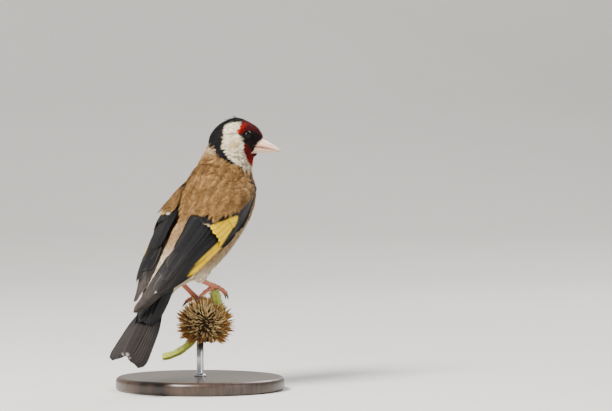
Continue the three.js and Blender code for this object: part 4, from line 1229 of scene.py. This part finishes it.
def stubSize(t, a):
    return (stub["radius"] + 0.2 * np.cos(9 * t)) * (1 + 0.07 * np.cos(7 * a)) \
        * np.minimum(1, 0.75 + 2.5 * (1 - t))


def stemSize(t, a):
    return stem["radius"] * (1 + 0.08 * np.cos(7 * a)) * (1 + 0.04 * np.sin(17 * t))


# the core's dark brown is partly its own colour and partly painted shade in the gaps between the bracts
coreVerts, coreFaces = loft(coreForm, 48, 32)
makePiece("thistle_core", coreVerts, coreFaces, thistleMaterial, "dried_thistle", ("perch_head",),
    colour=np.broadcast_to(perch["core"], coreVerts.shape))
bractVerts, bractFaces, bractPaint = bractForms()
makePiece("thistle_bracts", bractVerts, bractFaces, thistleMaterial, "dried_thistle", colour=bractPaint)
makePiece("thistle_stub", *rod(straight(stub["start"], stub["end"]), stubSize, 42, 40), stemMaterial,
    "green_stem", ("perch_stub",))
stubHairs()
makePiece("thistle_stem", *rod(bezier(*stem["path"]), stemSize, 42, 60), stemMaterial, "green_stem",
    ("perch_stem",))

stand = {"radius": 38.0, "height": 6.0, "edge": 2.0, "rod": 1.6, "top": 21.6,
    "wood": tone(58, 42, 32), "grain": tone(28, 20, 16), "steel": tone(196, 198, 202)}


def woodMaterial():
    material, tree = newMaterial("standWood")
    where = addNode(tree, "Mapping", Vector=addNode(tree, "TexCoord").outputs["Object"], Scale=(60, 600, 60))
    noise = addNode(tree, "TexNoise", Vector=where.outputs[0], Scale=1.4, Detail=8.0,
        Distortion=1.2).outputs["Fac"]
    fade = addNode(tree, "ValToRGB", Fac=noise)
    elements = fade.color_ramp.elements
    elements.new(0.5)
    for element, (place, colour) in zip(elements, ((0.3, stand["grain"]), (0.52, stand["wood"]),
            (0.75, stand["wood"] * 1.5))):
        element.position, element.color = place, (*colour, 1)
    rough = addNode(tree, "MapRange", Value=noise, To_Min=0.3, To_Max=0.5)
    relief = addNode(tree, "Bump", Height=noise, Strength=0.15, Distance=0.0002)
    dress(tree, Base_Color=fade.outputs["Color"], Roughness=rough.outputs[0], Normal=relief.outputs[0],
        Coat_Weight=0.3, Coat_Roughness=0.25)
    return material


def turned(profile):
    # a form turned about the upright axis, from (radius, height) pairs
    profile = np.array(profile, float)

    def form(t, angle):
        x = t * (len(profile) - 1)
        i = np.clip(x.astype(int), 0, len(profile) - 2)
        at = profile[i] + (profile[i + 1] - profile[i]) * (x - i)[..., None]
        return np.stack([at[..., 0] * np.cos(angle), at[..., 0] * np.sin(angle), at[..., 1]], -1)
    return loft(form, 128, len(profile) - 1)


def buildStand():
    wide, high, edge, thin = (stand[key] for key in ("radius", "height", "edge", "rod"))
    disc = [(0.01, 0), (20, 0), (wide - 1.2, 0), (wide - 0.8, 0.1), (wide - 0.1, 0.8),
        (wide, 1.2), (wide, 3.6)]
    disc += [(wide - edge + edge * math.cos(a), high - edge + edge * math.sin(a))
        for a in np.linspace(0.1, math.pi / 2, 9)]
    disc += [(radius, high) for radius in (34, 20, 6, 3, 0.01)]
    makePiece("stand_disc", *turned(disc), woodMaterial(), "stand_wood", ("stand_base",))
    steel = hornMaterial("standSteel", stand["steel"], 0.06, 900, 0.28, Metallic=1.0)
    pin = [(0.01, high), (thin + 1.0, high), (thin + 1.2, high + 0.3), (thin + 1.0, high + 0.7),
        (thin + 0.2, high + 1.1), (thin, high + 1.6), (thin, 14), (thin, stand["top"]), (0.01, stand["top"])]
    makePiece("stand_pin", *turned(pin), steel, "stand_steel", ("stand_rod",))


buildStand()

print("studio")
studio = {
    "floor": tone(222, 220, 216), "air": (0.86, 0.88, 0.92, 1), "strength": 0.42, "aim": (0.0, 0.0, 0.085),
    # away and up
    "bend": [(-2600, 0), (900, 0), (1200, 20), (1500, 120), (1700, 320), (1800, 600), (1820, 2600)],
    "lights": [  # name, rightward, nearer and high in metres, size, power, colour
        ("key", (-0.55, 0.75, 0.95), 0.5, 48.0, (1, 0.96, 0.9)),
        ("fill", (0.9, 0.7, 0.4), 0.9, 5.0, (0.93, 0.96, 1)),
        ("rim", (0.5, -0.8, 0.8), 0.5, 9.0, (1, 0.98, 0.95))],
}
camera = {"azimuth": math.radians(34), "elevation": math.radians(2), "distance": 1.6,
    "frame": 0.2754, "sensor": 36, "aim": Vector((0.03955, 0.02667, 0.0830))}


def buildFloor():
    # flat near the stand and curving up far behind it
    steps = np.linspace(-3000, 3000, 13)
    verts = np.array([picture["right"] * x + picture["away"] * away + upward * high
        for away, high in studio["bend"] for x in steps])
    faces = gridFaces(np.arange(len(verts)).reshape(-1, len(steps)))
    ground = hornMaterial("studioFloor", studio["floor"], 0.015, 20, 0.8)
    floor = makeMesh("studio_floor", verts, faces, ground)


def turnTo(thing, way):
    thing.rotation_euler = Vector(way).to_track_quat("-Z", "Y").to_euler()
    bpy.context.scene.collection.objects.link(thing)


def buildLights():
    for name, (rightward, nearer, high), size, power, colour in studio["lights"]:
        data = bpy.data.lights.new(name, "AREA")
        data.shape, data.size, data.energy, data.color = "DISK", size, power, colour
        light = bpy.data.objects.new(name, data)
        light.location = picture["right"] * rightward - picture["away"] * nearer + upward * high
        turnTo(light, Vector(studio["aim"]) - light.location)
    world = bpy.data.worlds.new("studioAir")
    world.use_nodes = True
    air = world.node_tree.nodes["Background"].inputs
    air["Color"].default_value = studio["air"]
    air["Strength"].default_value = studio["strength"]
    bpy.context.scene.world = world


def buildCamera():
    lens = bpy.data.cameras.new("camera")
    lens.type, lens.sensor_width, lens.clip_start, lens.clip_end = "PERSP", camera["sensor"], 0.05, 50
    lens.lens = camera["sensor"] * camera["distance"] / camera["frame"]
    viewer = bpy.data.objects.new("camera", lens)
    a, e = camera["azimuth"], camera["elevation"]
    back = Vector((math.sin(a) * math.cos(e), -math.cos(a) * math.cos(e), math.sin(e)))
    viewer.location = camera["aim"] + back * camera["distance"]
    turnTo(viewer, -back)
    bpy.context.scene.camera = viewer


buildFloor()
buildLights()
buildCamera()
